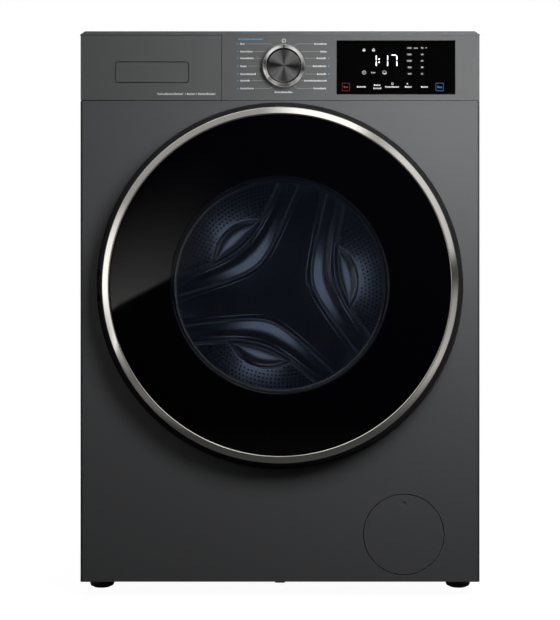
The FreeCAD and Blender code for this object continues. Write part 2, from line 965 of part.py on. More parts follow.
def arm_slots():
    """The room that the two hinge arms sweep through in the door."""
    return [
        block(
            (-dim.hinge_x - 23, -dim.hinge_x + 30),
            (deep(-dim.hinge_proud - 6), deep(5)),
            (dim.door_z + low, dim.door_z + low + 9),
        )
        for low in (-22.5, 13.5)
    ]


def inner_frame():
    """Moulded back ring of the door, with the hinge slots, the latch slot and its lugs."""
    inner = dim.bowl_radius + 0.5
    outer = dim.rim_radius - 11.4
    collar = dim.bowl_radius + 19
    frame = turned(
        [
            (inner, -2.5),
            (inner, -20.9),
            (collar, -20.9),
            (collar, -6),
            (outer, -6),
            (outer, -2.5),
        ],
        z=dim.door_z,
    )
    latch = block(
        (dim.latch_x - 11, dim.latch_x + 12), (deep(-7), deep(-1)), (dim.door_z - 3, dim.door_z + 3)
    )
    lugs = [
        block(
            (dim.latch_x - 6, dim.latch_x + 6),
            (deep(-dim.latch_proud - 6), deep(-5.5)),
            (dim.door_z + low, dim.door_z + low + 5),
        )
        for low in (-8.2, 3.2)
    ]
    spot = (dim.latch_x, deep(-dim.latch_proud))
    bore = rod("z", spot, (dim.door_z - 12, dim.door_z + 12), 2.0 + dim.running_gap)
    node(cut(fused(frame, *lugs), latch, bore, *arm_slots()), "door_inner_frame")


def hinge():
    """Hinge: a bracket with two swan neck arms on the panel, and a block and pin in the door."""
    spot = (-dim.hinge_x, deep(-dim.hinge_proud))
    floor = dim.recess_deep - 1
    plate = block(
        (-dim.hinge_x + 7, -dim.hinge_x + 47),
        (deep(floor - 2), deep(floor)),
        (dim.door_z - 34, dim.door_z + 34),
    )
    arms = []
    for low in (-22, 14):
        limits = (dim.door_z + low, dim.door_z + low + 8)
        arms.append(rod("z", spot, limits, 5.5))
        bar = (deep(-dim.hinge_proud - 3), deep(-dim.hinge_proud + 3))
        arms.append(block((-dim.hinge_x, -dim.hinge_x + 28), bar, limits))
        neck = (deep(-dim.hinge_proud - 3), deep(floor - 2))
        arms.append(block((-dim.hinge_x + 20, -dim.hinge_x + 28), neck, limits))
    reach = (dim.door_z - 30, dim.door_z + 30)
    bore = rod("z", spot, reach, dim.hinge_pin + dim.running_gap)
    screws = [
        rod("y", (-dim.hinge_x + 38, dim.door_z + lift), (deep(floor - 4), deep(floor - 2)), 4.5)
        for lift in (-22, 0, 22)
    ]
    node(cut(fused(plate, *arms, *screws), bore), "hinge_bracket")

    core = block(
        (-dim.hinge_x - 5, -dim.hinge_x + 27),
        (deep(-27), deep(-6)),
        (dim.door_z - 13, dim.door_z + 13),
    )
    node(cut(core, rod("z", spot, reach, dim.hinge_pin)), "hinge_block")
    node(rod("z", spot, (dim.door_z - 24, dim.door_z + 24), dim.hinge_pin), "hinge_pin")


def latch():
    """Sprung hook on the door with its pressed pin, and the lock box behind the front panel."""
    hook_outline = [
        (-4, -14),
        (5, -14),
        (5, 24),
        (0, 24),
        (-9, 17),
        (-9, 14.5),
        (-1, 14.5),
        (-1, 4),
        (-4, 0),
    ]
    hook = padded("XY_Plane", hook_outline, 5.0, x=dim.latch_x, y=FRONT, z=dim.door_z - 2.5)
    spot = (dim.latch_x, deep(-dim.latch_proud))
    pin = rod("z", spot, (dim.door_z - 8, dim.door_z + 8), 2.0)
    node(fused(hook, pin), "latch_hook")
    floor = dim.recess_deep
    box = block(
        (dim.latch_x - 14, dim.latch_x + 24),
        (deep(floor), deep(floor + 28)),
        (dim.door_z - 30, dim.door_z + 30),
    )
    mouth = block(
        (dim.latch_x - 11, dim.latch_x + 13),
        (deep(floor - 1), deep(floor + 24)),
        (dim.door_z - 6, dim.door_z + 6),
    )
    plug = block(
        (dim.latch_x + 2, dim.latch_x + 20),
        (deep(floor + 28), deep(floor + 38)),
        (dim.door_z - 26, dim.door_z - 8),
    )
    node(cut(fused(box, plug), mouth), "door_lock")


# ---------------------------------------------------------------- tub and drum


def gasket():
    """Rubber bellows between the front panel's mouth and the tub, and its clamp ring."""
    lip = dim.mouth_radius - 1.3
    neck = dim.tub_mouth + 4.4
    section = [
        (lip, 7.5),
        (lip - 4.7, 4.8),
        (lip - 32, 6.5),
        (lip - 44.7, 11.5),
        (lip - 46.5, 16),
        (lip - 43.7, 19.5),
        (lip - 29.7, 27),
        (lip - 11.7, 33.5),
        (lip - 8.7, 37),
        (lip - 8.7, 43),
        (lip - 12.7, 50),
        (lip - 14.9, 56),
        (neck, 68),
        (neck, 82),
        (neck + 3.2, 82),
        (neck + 3.2, 66),
        (neck + 1.8, 57),
        (neck + 3.8, 51),
        (neck + 7.8, 44),
        (neck + 7.8, 35.5),
        (neck + 3.6, 30.5),
        (lip - 27.7, 24),
        (lip - 40.7, 17),
        (lip - 41.2, 13.5),
        (lip - 30.2, 9.5),
        (lip - 5.7, 8),
        (lip - 3.3, 10),
        (lip - 3.3, 17),
        (lip, 17),
    ]
    node(turned(section, z=dim.drum_z), "gasket")


def tub():
    """Two halves of the outer tub, with the bearing hub, ears and sump outlet."""
    radius = dim.tub_radius
    wall = dim.tub_wall
    face = dim.tub_front
    split = dim.tub_split
    mouth = dim.tub_mouth
    front = turned(
        [
            (mouth, face - 14),
            (mouth + wall, face - 14),
            (mouth + wall, face),
            (radius - 10, face, 10),
            (radius, face + 10),
            (radius, split - 8),
            (radius + 6, split - 8),
            (radius + 6, split),
            (radius - wall, split),
            (radius - wall, face + 10, -6),
            (radius - 10, face + wall),
            (mouth, face + wall),
        ],
        z=dim.drum_z,
    )
    spot = (dim.flap_x, deep(104))
    outlet = rod("z", spot, (262, 288), 11.5)
    bore = rod("z", spot, (260, 300), 9.5)
    node(cut(fused(front, outlet), bore), "tub_front")

    back = dim.tub_back
    rear_body = turned(
        [
            (26, back + 22),
            (45, back + 22),
            (60, back),
            (radius - 10, back, -10),
            (radius, back - 10),
            (radius, split + 8),
            (radius + 6, split + 8),
            (radius + 6, split),
            (radius - wall, split),
            (radius - wall, back - 10, 6),
            (radius - 10, back - wall),
            (60, back - wall),
            (45, back - 24),
            (31, back - 24),
            (31, back - 6),
            (22, back - 6),
            (22, back + 6),
            (26, back + 6),
        ],
        z=dim.drum_z,
    )
    ears = []
    middle = (deep(dim.mid_deep - 10), deep(dim.mid_deep + 12))
    inside = rod("y", (0, dim.drum_z), middle, radius - wall)
    for sign in (-1, 1):
        reach = sorted([sign * 180, sign * (dim.spring_x.value + 10)])
        ears.append(block(reach, middle, (dim.spring_bottom - 14, dim.spring_bottom - 2)))
        foot = (sign * dim.damper_x - 14, sign * dim.damper_x + 14)
        ears.append(block(foot, middle, (236, 252)))
    ears = [cut(ear, inside) for ear in ears]
    ribs = [rod("y", (0, dim.drum_z), (deep(300), deep(304)), radius + 4)]
    hollow = rod("y", (0, dim.drum_z), (deep(299), deep(305)), radius - 2)
    wires = [
        rod("y", (x, dim.drum_z - 248.7), (deep(back - 10), deep(back + 10)), 4.2)
        for x in (-25, 25)
    ]
    node(cut(fused(rear_body, cut(ribs[0], hollow), *ears), *wires), "tub_rear")


def tub_fittings():
    """Counterweight, heater, bearings, springs and dampers of the tub."""
    spot = (0, dim.drum_z)
    weight = tube("y", spot, (deep(50), deep(dim.tub_front - 0.2)), 255, 200)
    low = block((-300, 300), (deep(40), deep(90)), (150, dim.drum_z - 130))
    node(cut(weight, low), "front_counterweight")

    level = dim.drum_z - 248.7
    back = dim.tub_back
    wires = [rod("y", (x, level), (deep(150), deep(back + 14)), 4) for x in (-25, 25)]
    bend = rod("x", (deep(150), level), (-25, 25), 4)
    plate = block((-36, 36), (deep(back), deep(back + 5)), (level - 9, level + 9))
    node(fused(*wires, bend, plate), "heater")

    front_bearing = tube(
        "y", spot, (deep(back - 22), deep(back - 6.2)), 31, dim.shaft_front + dim.running_gap
    )
    rear_bearing = tube(
        "y", spot, (deep(back + 6.2), deep(back + 21)), 26, dim.shaft_rear + dim.running_gap
    )
    node(grouped(front_bearing, rear_bearing), "drum_bearings")

    springs = []
    for sign in (-1, 1):
        coil = doc.addObject("Part::Helix", "Coil")
        coil.Pitch = 9.0
        bind(coil, "Height", dim.spring_top - dim.spring_bottom)
        coil.Radius = 9.0
        wire = doc.addObject("Part::Circle", "Wire")
        wire.Radius = 1.7
        wire.Placement = FreeCAD.Placement(Vector(9, 0, 0), Rotation(Vector(1, 0, 0), 90))
        sweep = doc.addObject("Part::Sweep", "Spring")
        sweep.Sections = [wire]
        sweep.Spine = (coil, ["Edge1"])
        sweep.Solid = True
        sweep.Frenet = True
        place(sweep, sign * dim.spring_x, deep(dim.mid_deep), dim.spring_bottom)
        springs.append(sweep)
    node(grouped(*springs), "suspension_springs")

    cylinders = []
    rods = []
    for x in (-dim.damper_x, dim.damper_x):
        spot = (x, deep(dim.mid_deep))
        seat = dim.body_floor + 16
        barrel = rod("z", spot, (seat, 150), 14)
        cylinders.append(cut(barrel, rod("z", spot, (70, 151), 6.4)))
        rods.append(rod("z", spot, (100, 236), 6))
    node(grouped(*cylinders), "damper_cylinders")
    node(grouped(*rods), "damper_rods")


LIFTER_ANGLES = (80, 200, 320)


def drum():
    """Drum: wrap with its front ring, dished back, spider with the shaft, and three lifters."""
    radius = dim.drum_radius
    front = dim.drum_front
    back = dim.drum_back
    mouth = dim.drum_mouth
    shell = turned(
        [
            (mouth, front + 6),
            (mouth, front + 2, 2),
            (mouth + 2, front),
            (radius - 4, front, 4),
            (radius, front + 4),
            (radius, back),
            (radius - 1, back),
            (radius - 1, front + 4, -3),
            (radius - 4, front + 1),
            (mouth + 2, front + 1, -1),
            (mouth + 1, front + 2),
            (mouth + 1, front + 6),
        ],
        z=dim.drum_z,
    )
    node(shell, "drum_shell")
    plate = turned(
        [
            (0, back - 8),
            (40, back - 8),
            (70, back - 1.2),
            (radius - 1, back - 1.2),
            (radius - 1, back),
            (69.6, back),
            (39.6, back - 6.8),
            (0, back - 6.8),
        ],
        z=dim.drum_z,
    )
    node(plate, "drum_back")

    lifters = []
    for angle in LIFTER_ANGLES:
        turn = math.degrees(math.atan2(-math.cos(math.radians(angle)), -math.sin(math.radians(angle))))
        section = [
            (-30, -radius + 4),
            (30, -radius + 4),
            (12, -radius + 46, -24),
            (-12, -radius + 46),
        ]
        lifter = padded("XZ_Plane", section, 250.0, x=0, y=deep(back - 16), z=dim.drum_z)
        lifter.Placement.Rotation = Rotation(Vector(0, 1, 0), turn)
        lifters.append(lifter)
    node(grouped(*lifters), "drum_lifters")

    body = doc.addObject("PartDesign::Body", "Body")
    hub = sketched(body, "XY_Plane")
    seat = dim.tub_back
    step = seat + 3
    loop(
        hub,
        [
            (0, back),
            (40, back),
            (40, seat - 26),
            (dim.shaft_front, seat - 25),
            (dim.shaft_front, step),
            (dim.shaft_rear, step + 1),
            (dim.shaft_rear, seat + 52),
            (0, seat + 52),
        ],
    )
    feature = body.newObject("PartDesign::Revolution", "Revolution")
    feature.Profile = hub
    feature.ReferenceAxis = (hub, ["V_Axis"])
    feature.Angle = 360.0
    arm = body.newObject("Sketcher::SketchObject", "Arm")
    arm.AttachmentSupport = [(plane(body, "XZ_Plane"), "")]
    arm.MapMode = "FlatFace"
    bind(arm, "AttachmentOffset.Base.z", -(back + 1))
    loop(arm, [(-20, 30), (20, 30), (13, radius - 8), (-13, radius - 8)])
    doc.recompute()
    limb = body.newObject("PartDesign::Pad", "Limb")
    limb.Profile = arm
    limb.Reversed = True
    limb.Length = 15.0
    limbs = body.newObject("PartDesign::PolarPattern", "Limbs")
    limbs.Originals = [limb]
    limbs.Axis = (plane(body, "Y_Axis"), [""])
    limbs.Angle = 360.0
    limbs.Occurrences = 3
    body.Tip = limbs
    place(body, 0, FRONT, dim.drum_z)
    node(body, "drum_spider")


def drive():
    """Belt drive: drum pulley, belt, motor with its fixing lugs, and rotor with its pinion."""
    centre = (0, dim.drum_z)
    start = dim.belt_deep - dim.belt_width / 2
    finish = dim.belt_deep + dim.belt_width / 2
    radius = dim.pulley_radius
    disc = turned(
        [
            (dim.shaft_rear, start - 4),
            (26, start - 4),
            (26, start + 4),
            (radius - 8, start + 4),
            (radius - 8, start - 1),
            (radius, start - 1),
            (radius, finish + 1),
            (radius - 8, finish + 1),
            (radius - 8, start + 8),
            (26, start + 8),
            (26, finish + 2),
            (dim.shaft_rear, finish + 2),
        ],
        z=dim.drum_z,
    )
    holes = []
    for number in range(6):
        turn = math.radians(60 * number + 30)
        spot = (84 * math.cos(turn), dim.drum_z + 84 * math.sin(turn))
        holes.append(rod("y", spot, (deep(start - 10), deep(finish + 10)), 30))
    node(cut(disc, *holes), "drum_pulley")

    rise = dim.drum_z - dim.motor_z
    slope = (dim.pulley_radius.value - dim.pinion_radius.value) / rise.value
    lean = math.sqrt(1 - slope**2)

    def belt_outline(gap):
        big = dim.pulley_radius + gap
        small = dim.pinion_radius + gap
        return [
            (big * lean, dim.drum_z - big * slope),
            (small * lean, dim.motor_z - small * slope, -small),
            (-small * lean, dim.motor_z - small * slope),
            (-big * lean, dim.drum_z - big * slope, -big),
            (0, dim.drum_z + big, -big),
        ]

    body = doc.addObject("PartDesign::Body", "Body")
    sketch = sketched(body, "XZ_Plane")
    loop(sketch, belt_outline(3.3))
    loop(sketch, belt_outline(0.3))
    pad = body.newObject("PartDesign::Pad", "Pad")
    pad.Profile = sketch
    bind(pad, "Length", dim.belt_width - 2)
    place(body, 0, deep(finish - 1), 0)
    node(body, "drive_belt")

    low = (0, dim.motor_z)
    can = rod("y", low, (deep(336), deep(446)), dim.motor_radius)
    lugs = [
        block((-26, 26), (deep(near_end), deep(near_end + 12)), (dim.motor_z, dim.drum_z - 262.3))
        for near_end in (344, 424)
    ]
    bore = rod("y", low, (deep(400), deep(450)), 6 + dim.running_gap)
    slots = [
        block((x - 3, x + 3), (deep(430), deep(447)), (dim.motor_z - 38, dim.motor_z - 22))
        for x in (-24, -8, 8, 24)
    ]
    node(cut(fused(can, *lugs), bore, *slots), "motor")
    rotor = turned(
        [
            (0, 401),
            (6, 401),
            (6, 456),
            (dim.pinion_radius, 456),
            (dim.pinion_radius, finish + 4),
            (0, finish + 4),
        ],
        z=dim.motor_z,
    )
    node(rotor, "motor_rotor")


# ---------------------------------------------------------------- drain


def drain():
    """Drain pump with its filter chamber, impeller, filter, service flap and sump hose."""
    spot = (dim.flap_x, dim.flap_z)
    surround = turned(
        [
            (dim.flap_radius + 0.6, 1.2),
            (dim.flap_radius + 3, 1.2),
            (dim.flap_radius + 3, 28),
            (dim.filter_radius + 3, 28),
            (dim.filter_radius + 3, 120),
            (28, 120),
            (28, 138),
            (27, 190),
            (0, 190),
            (0, 142),
            (2.6, 142),
            (2.6, 136),
            (22, 136),
            (22, 122),
            (9, 122),
            (9, 116),
            (dim.filter_radius + 0.5, 116),
            (dim.filter_radius + 0.5, 26),
            (dim.flap_radius + 0.6, 26),
        ],
        x=dim.flap_x,
        z=dim.flap_z,
    )
    riser = rod("z", (dim.flap_x, deep(104)), (dim.flap_z + 31, dim.flap_z + 44), 11.5)
    riser_bore = rod("z", (dim.flap_x, deep(104)), (dim.flap_z + 20, dim.flap_z + 50), 9.5)
    nozzle = rod("x", (deep(129), dim.flap_z), (dim.flap_x - 46, dim.flap_x - 24), 7.5)
    nozzle_bore = rod("x", (deep(129), dim.flap_z), (dim.flap_x - 47, dim.flap_x - 15), 5.5)
    saddle = block(
        (dim.flap_x - 18, dim.flap_x + 18),
        (deep(40), deep(100)),
        (dim.body_floor + 5, dim.flap_z - 31.5),
    )
    pump = cut(fused(surround, riser, nozzle, saddle), riser_bore, nozzle_bore)
    node(pump, "drain_pump")

    hub = rod("y", spot, (deep(123), deep(134)), 6)
    blades = [
        block(
            (dim.flap_x - wide, dim.flap_x + wide),
            (deep(123.5), deep(133)),
            (dim.flap_z - tall, dim.flap_z + tall),
        )
        for wide, tall in ((18, 1.2), (1.2, 18))
    ]
    axle = rod("y", spot, (deep(130), deep(141.5)), 2.5)
    node(fused(hub, *blades, axle), "pump_impeller")

    plug = rod("y", spot, (deep(15), deep(25)), dim.filter_radius)
    grip = block(
        (dim.flap_x - 4, dim.flap_x + 4), (deep(8), deep(16)), (dim.flap_z - 25, dim.flap_z + 25)
    )
    neck = rod("y", spot, (deep(24), deep(40)), dim.filter_radius - 0.5)
    basket = tube("y", spot, (deep(40), deep(92)), dim.filter_radius - 5, dim.filter_radius - 8)
    windows = [
        block(
            (dim.flap_x - 30, dim.flap_x + 30),
            (deep(46 + 11 * step), deep(52 + 11 * step)),
            (dim.flap_z - 9, dim.flap_z + 9),
        )
        for step in range(4)
    ]
    node(cut(fused(plug, grip, neck, basket), *windows), "filter_cap")

    flap = rod("y", spot, (deep(-dim.skin), deep(1.5)), dim.flap_radius - dim.flap_gap)
    dimple = cone("y", (dim.flap_x, dim.flap_z + 45.8), (deep(-1.1), deep(0.6)), (3.4, 2.4))
    clips = [
        block(
            (dim.flap_x + shift - 4, dim.flap_x + shift + 4),
            (deep(1.4), deep(10)),
            (dim.flap_z + 45, dim.flap_z + 47),
        )
        for shift in (-20, 20)
    ]
    node(cut(fused(flap, *clips), dimple), "service_flap")
    node(tube("z", (dim.flap_x, deep(104)), (dim.flap_z + 44.3, 261.7), 13, 9.5), "sump_hose")


# ---------------------------------------------------------------- build, test and write

side_panels()
front_panel()
rear()
rear_fittings()
top_cover()
base_pan()
feet()
fascia()
control_board()
knob()
drawer()
door_shell()
inner_frame()
hinge()
latch()
gasket()
tub()
tub_fittings()
drum()
drive()
drain()
doc.recompute()

faults = [
    f"{obj.Label} ({obj.Name}): {obj.State}"
    for obj in doc.Objects
    if "Invalid" in obj.State or "Error" in obj.State
]
faults += [
    f"{obj.Label}: no valid shape" for obj in NODES if obj.Shape.isNull() or not obj.Shape.isValid()
]
if faults:
    raise SystemExit("\n".join(faults))

os.makedirs("parts", exist_ok=True)
for obj in NODES:
    obj.Shape.exportStep(f"parts/{obj.Label}.step")
    print(f"{obj.Label:24s} {len(obj.Shape.Solids)} solids {obj.Shape.Volume / 1000:10.1f} cm3")
whole = FreeCAD.BoundBox()
for obj in NODES:
    whole.add(obj.Shape.BoundBox)
print(f"{len(NODES)} nodes, box {whole}")
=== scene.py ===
import json
import math

import bmesh
import bpy
from mathutils import Matrix, Vector


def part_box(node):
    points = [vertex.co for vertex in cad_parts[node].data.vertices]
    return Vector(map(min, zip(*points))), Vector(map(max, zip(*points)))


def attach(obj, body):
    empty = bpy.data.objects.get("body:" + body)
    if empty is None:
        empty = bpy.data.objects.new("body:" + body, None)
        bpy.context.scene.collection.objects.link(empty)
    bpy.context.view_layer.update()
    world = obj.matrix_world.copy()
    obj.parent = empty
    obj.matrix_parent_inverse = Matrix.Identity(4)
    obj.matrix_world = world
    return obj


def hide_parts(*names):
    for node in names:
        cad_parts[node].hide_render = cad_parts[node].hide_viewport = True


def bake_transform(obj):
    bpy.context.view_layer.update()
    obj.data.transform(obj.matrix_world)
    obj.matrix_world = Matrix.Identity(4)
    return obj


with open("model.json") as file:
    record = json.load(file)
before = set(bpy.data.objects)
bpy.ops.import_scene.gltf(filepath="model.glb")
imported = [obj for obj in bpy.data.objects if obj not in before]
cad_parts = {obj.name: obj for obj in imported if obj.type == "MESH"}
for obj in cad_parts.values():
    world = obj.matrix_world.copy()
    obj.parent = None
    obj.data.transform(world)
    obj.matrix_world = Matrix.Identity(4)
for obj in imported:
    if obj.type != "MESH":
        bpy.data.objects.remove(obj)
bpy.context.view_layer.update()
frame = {"nodes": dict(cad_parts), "record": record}

MM = 0.001
TAU = math.tau
QUARTER_TURN = Matrix.Rotation(math.radians(90), 4, "X")

# ---------------------------------------------------------------- places read from the frame


def centre(node):
    """The middle of a CAD node's box."""
    low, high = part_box(node)
    return (low + high) / 2


def half_width(node):
    """Half of a CAD node's width along X."""
    low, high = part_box(node)
    return (high.x - low.x) / 2


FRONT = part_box("front_panel")[0].y
DOOR = centre("door_glass")
DRUM = centre("drum_shell")
KNOB = centre("knob_ring")
GLASS_RADIUS = half_width("door_glass")
BOWL_RADIUS = half_width("door_bowl")
WINDOW_SHARE = 0.935
WINDOW_RADIUS = WINDOW_SHARE * BOWL_RADIUS
DRUM_RADIUS = half_width("drum_back")

# ---------------------------------------------------------------- materials

# most of a noise field lies between these values
NOISE_LOW = 0.3
NOISE_HIGH = 0.7

class Look:
    """A procedural material round one Principled shader."""

    def __init__(self, name):
        self.material = bpy.data.materials.new(name)
        self.material.use_nodes = True
        self.nodes = self.material.node_tree.nodes
        self.shader = self.nodes["Principled BSDF"]
        self.place = self.nodes.new("ShaderNodeTexCoord").outputs["Object"]

    def link(self, source, target):
        self.material.node_tree.links.new(source, target)

    def set(self, **values):
        """Sets sockets of the shader, whose names are written with underscores."""
        for name, value in values.items():
            self.shader.inputs[name.replace("_", " ")].default_value = value
        return self

    def noise(self, scale, detail=3.0, stretch=(1, 1, 1)):
        """A noise field of about this many patches to the metre."""
        mapping = self.nodes.new("ShaderNodeMapping")
        mapping.inputs["Scale"].default_value = stretch
        self.link(self.place, mapping.inputs["Vector"])
        texture = self.nodes.new("ShaderNodeTexNoise")
        texture.inputs["Scale"].default_value = scale
        texture.inputs["Detail"].default_value = detail
        self.link(mapping.outputs["Vector"], texture.inputs["Vector"])
        return texture.outputs["Fac"]

    def span(self, field, low, high, start=NOISE_LOW, end=NOISE_HIGH):
        """Spreads a field, from start to end, over a range of values."""
        spread = self.nodes.new("ShaderNodeMapRange")
        limits = {"From Min": start, "From Max": end, "To Min": low, "To Max": high}
        for name, value in limits.items():
            spread.inputs[name].default_value = value
        self.link(field, spread.inputs["Value"])
        return spread.outputs["Result"]

    def tint(self, field, color, depth):
        """Varies the base colour by a fraction of its strength."""
        mix = self.nodes.new("ShaderNodeMix")
        mix.data_type = "RGBA"
        mix.inputs["A"].default_value = (*[value * (1 - depth) for value in color], 1)
        mix.inputs["B"].default_value = (*[min(1, value * (1 + depth)) for value in color], 1)
        self.link(self.span(field, 0, 1), mix.inputs["Factor"])
        self.link(mix.outputs["Result"], self.shader.inputs["Base Color"])

    def bump(self, field, strength, distance):
        """Raises the surface by a field, in metres."""
        bump = self.nodes.new("ShaderNodeBump")
        bump.inputs["Strength"].default_value = strength
        bump.inputs["Distance"].default_value = distance
        self.link(field, bump.inputs["Height"])
        self.link(bump.outputs["Normal"], self.shader.inputs["Normal"])

    def roughness(self, field, low, high):
        self.link(self.span(field, low, high), self.shader.inputs["Roughness"])

    def turned(self, amount):
        """Makes the gloss follow circles about the Y axis, as on spun or brushed round metal."""
        self.set(Anisotropic=amount, Anisotropic_Rotation=0.25)
        tangent = self.nodes.new("ShaderNodeTangent")
        tangent.direction_type = "RADIAL"
        tangent.axis = "Y"
        self.link(tangent.outputs["Tangent"], self.shader.inputs["Tangent"])


def paint(name, color, low=0.36, high=0.44):
    """Satin metallic paint with fine flakes and a slight orange peel."""
    look = Look(name).set(
        Metallic=0.06, Specular_IOR_Level=0.12, Coat_Weight=0.03, Coat_Roughness=0.3
    )
    look.tint(look.noise(2600, 2), color, 0.16)
    look.roughness(look.noise(9, 4), low, high)
    look.bump(look.noise(420, 2), 0.12, 0.0002)
    return look.material


def plastic(name, color, low, high, peel=0.15, fine=1400, gleam=0.5):
    """Moulded plastic with a fine spark-eroded grain."""
    look = Look(name).set(Metallic=0.0, Specular_IOR_Level=gleam)
    look.tint(look.noise(60, 4), color, 0.08)
    look.roughness(look.noise(25, 4), low, high)
    look.bump(look.noise(fine, 2), peel, 0.0002)
    return look.material


def metal(name, color, low, high, stretch=(1, 1, 1), streaks=300, depth=0.1):
    """Bare metal, whose noise can be stretched into a brushed grain."""
    look = Look(name).set(Metallic=1.0)
    field = look.noise(streaks, 3, stretch)
    look.tint(field, color, depth)
    look.roughness(field, low, high)
    look.bump(field, 0.08, 0.0001)
    return look.material


def round_metal(name, color, low, high, amount):
    """Round metal, brushed along its circles."""
    look = Look(name).set(Metallic=1.0)
    look.tint(look.noise(500, 3, (1, 0.2, 1)), color, 0.06)
    look.roughness(look.noise(700, 3), low, high)
    look.turned(amount)
    return look.material


def rubber(name, color):
    look = Look(name).set(Metallic=0.0)
    look.tint(look.noise(30, 4), color, 0.15)
    look.roughness(look.noise(40, 3), 0.5, 0.68)
    look.bump(look.noise(900, 2), 0.2, 0.0002)
    return look.material


def concrete(name, color):
    look = Look(name).set(Metallic=0.0)
    look.tint(look.noise(90, 8), color, 0.3)
    look.roughness(look.noise(50, 5), 0.8, 0.95)
    look.bump(look.noise(240, 8), 0.5, 0.001)
    return look.material


def glass(name, color, alpha):
    """Clear or tinted glass, seen through without bending."""
    look = Look(name).set(
        Metallic=0.0, Base_Color=(*color, 1), Alpha=alpha, IOR=1.5, Specular_IOR_Level=0.5
    )
    look.roughness(look.noise(12, 3), 0.015, 0.03)
    return look.material


def glowing(name, color, strength):
    """A lit mark behind dark glass."""
    look = Look(name).set(Emission_Color=(*color, 1), Emission_Strength=strength)
    look.tint(look.noise(400, 2), color, 0.05)
    look.roughness(look.noise(60, 2), 0.4, 0.5)
    return look.material


def print_ink(name, color):
    """Pad printed ink."""
    look = Look(name).set(Metallic=0.0)
    look.tint(look.noise(800, 2), color, 0.06)
    look.roughness(look.noise(300, 2), 0.45, 0.6)
    return look.material


LOOKS = {
    "cabinet_paint": paint("cabinet_paint", (0.040, 0.041, 0.043)),
    "front_paint": paint("front_paint", (0.066, 0.067, 0.070)),
    "rear_steel": paint("rear_steel", (0.11, 0.112, 0.118), 0.45, 0.55),
    "lid": plastic("lid", (0.060, 0.061, 0.064), 0.42, 0.52),
    "fascia": paint("fascia", (0.068, 0.069, 0.070), 0.38, 0.46),
    "black_plastic": plastic("black_plastic", (0.018, 0.018, 0.020), 0.38, 0.5),
    "gloss_black": plastic(
        "gloss_black", (0.0015, 0.0015, 0.0018), 0.2, 0.26, 0.02, 300, gleam=0.12
    ),
    "chrome": round_metal("chrome", (0.80, 0.785, 0.755), 0.08, 0.13, 0.3),
    "spun_metal": round_metal("spun_metal", (0.20, 0.20, 0.205), 0.13, 0.16, 0.2),
    "tinted_glass": glass("tinted_glass", (0.004, 0.005, 0.009), 0.22),
    "clear_glass": glass("clear_glass", (0.02, 0.025, 0.04), 0.05),
    "screen_glass": plastic("screen_glass", (0.0008, 0.0007, 0.0007), 0.06, 0.1, 0.01, 200),
    "grey_plastic": plastic("grey_plastic", (0.34, 0.35, 0.36), 0.5, 0.62),
    "light_plastic": plastic("light_plastic", (0.62, 0.63, 0.64), 0.42, 0.55),
    "blue_plastic": plastic("blue_plastic", (0.03, 0.10, 0.35), 0.35, 0.45),
    "steel": metal("steel", (0.50, 0.51, 0.53), 0.22, 0.34),
    "zinc": metal("zinc", (0.42, 0.43, 0.45), 0.34, 0.46, streaks=120, depth=0.2),
    "alloy": metal("alloy", (0.48, 0.48, 0.49), 0.45, 0.6, streaks=500),
    "rubber": rubber("rubber", (0.075, 0.078, 0.082)),
    "black_rubber": rubber("black_rubber", (0.016, 0.016, 0.017)),
    "concrete": concrete("concrete", (0.33, 0.32, 0.30)),
    "board": plastic("board", (0.01, 0.07, 0.03), 0.35, 0.5),
    "motor_iron": metal("motor_iron", (0.18, 0.19, 0.20), 0.45, 0.6, streaks=200),
}
DRUM_STEEL = metal("drum_steel", (0.30, 0.34, 0.42), 0.16, 0.26, (1, 0.1, 1), 700, 0.05)
# near black: painted shade in the drum's holes, and the knob pointer's own black
HOLE_SHADE_AND_POINTER_BLACK = plastic("hole_shade_and_pointer_black", (0.004, 0.004, 0.005), 0.6, 0.7)
PRINTED_BLACK = plastic("printed_black", (0.0006, 0.0006, 0.001), 0.02, 0.035, 0.0, 50)
LABEL_INK = print_ink("label_ink", (0.55, 0.56, 0.57))
LINE_INK = print_ink("line_ink", (0.26, 0.265, 0.27))
KNOB_CHROME = round_metal("knob_chrome", (0.80, 0.80, 0.80), 0.12, 0.14, 0.2)
BLUE_INK = print_ink("blue_ink", (0.05, 0.24, 0.42))
WHITE_GLOW = glowing("white_glow", (0.9, 0.93, 1.0), 2.2)
DIM_GLOW = glowing("dim_glow", (0.30, 0.30, 0.31), 0.8)
KEY_GLOW = glowing("key_glow", (0.42, 0.42, 0.43), 0.8)
RED_GLOW = glowing("red_glow", (0.09, 0.008, 0.007), 0.6)
BLUE_GLOW = glowing("blue_glow", (0.006, 0.06, 0.15), 0.6)


def finish_nodes():
    """Gives every CAD node the look of its slot."""
    for part in frame["record"]["subparts"]:
        mesh = frame["nodes"][part["node"]].data
        mesh.materials.clear()
        mesh.materials.append(LOOKS[part["material_slot"]])


# ---------------------------------------------------------------- meshes


def placed(name, data):
    """A new object in the scene."""
    obj = bpy.data.objects.new(name, data)
    bpy.context.scene.collection.objects.link(obj)
    return obj


def on_circle(middle, radius, turn, depth):
    """A point at an angle on an upright circle that faces the front."""
    return (middle.x + radius * math.cos(turn), depth, middle.z + radius * math.sin(turn))


def mesh_object(name, points, faces, looks, indices=None):
    """A smooth object from points and faces, with a look for each face."""
    mesh = bpy.data.meshes.new(name)
    mesh.from_pydata(points, [], faces)
    for look in looks:
        mesh.materials.append(look)
    if indices:
        mesh.polygons.foreach_set("material_index", indices)
    mesh.update()
    mesh.shade_smooth()
    return placed(name, mesh)


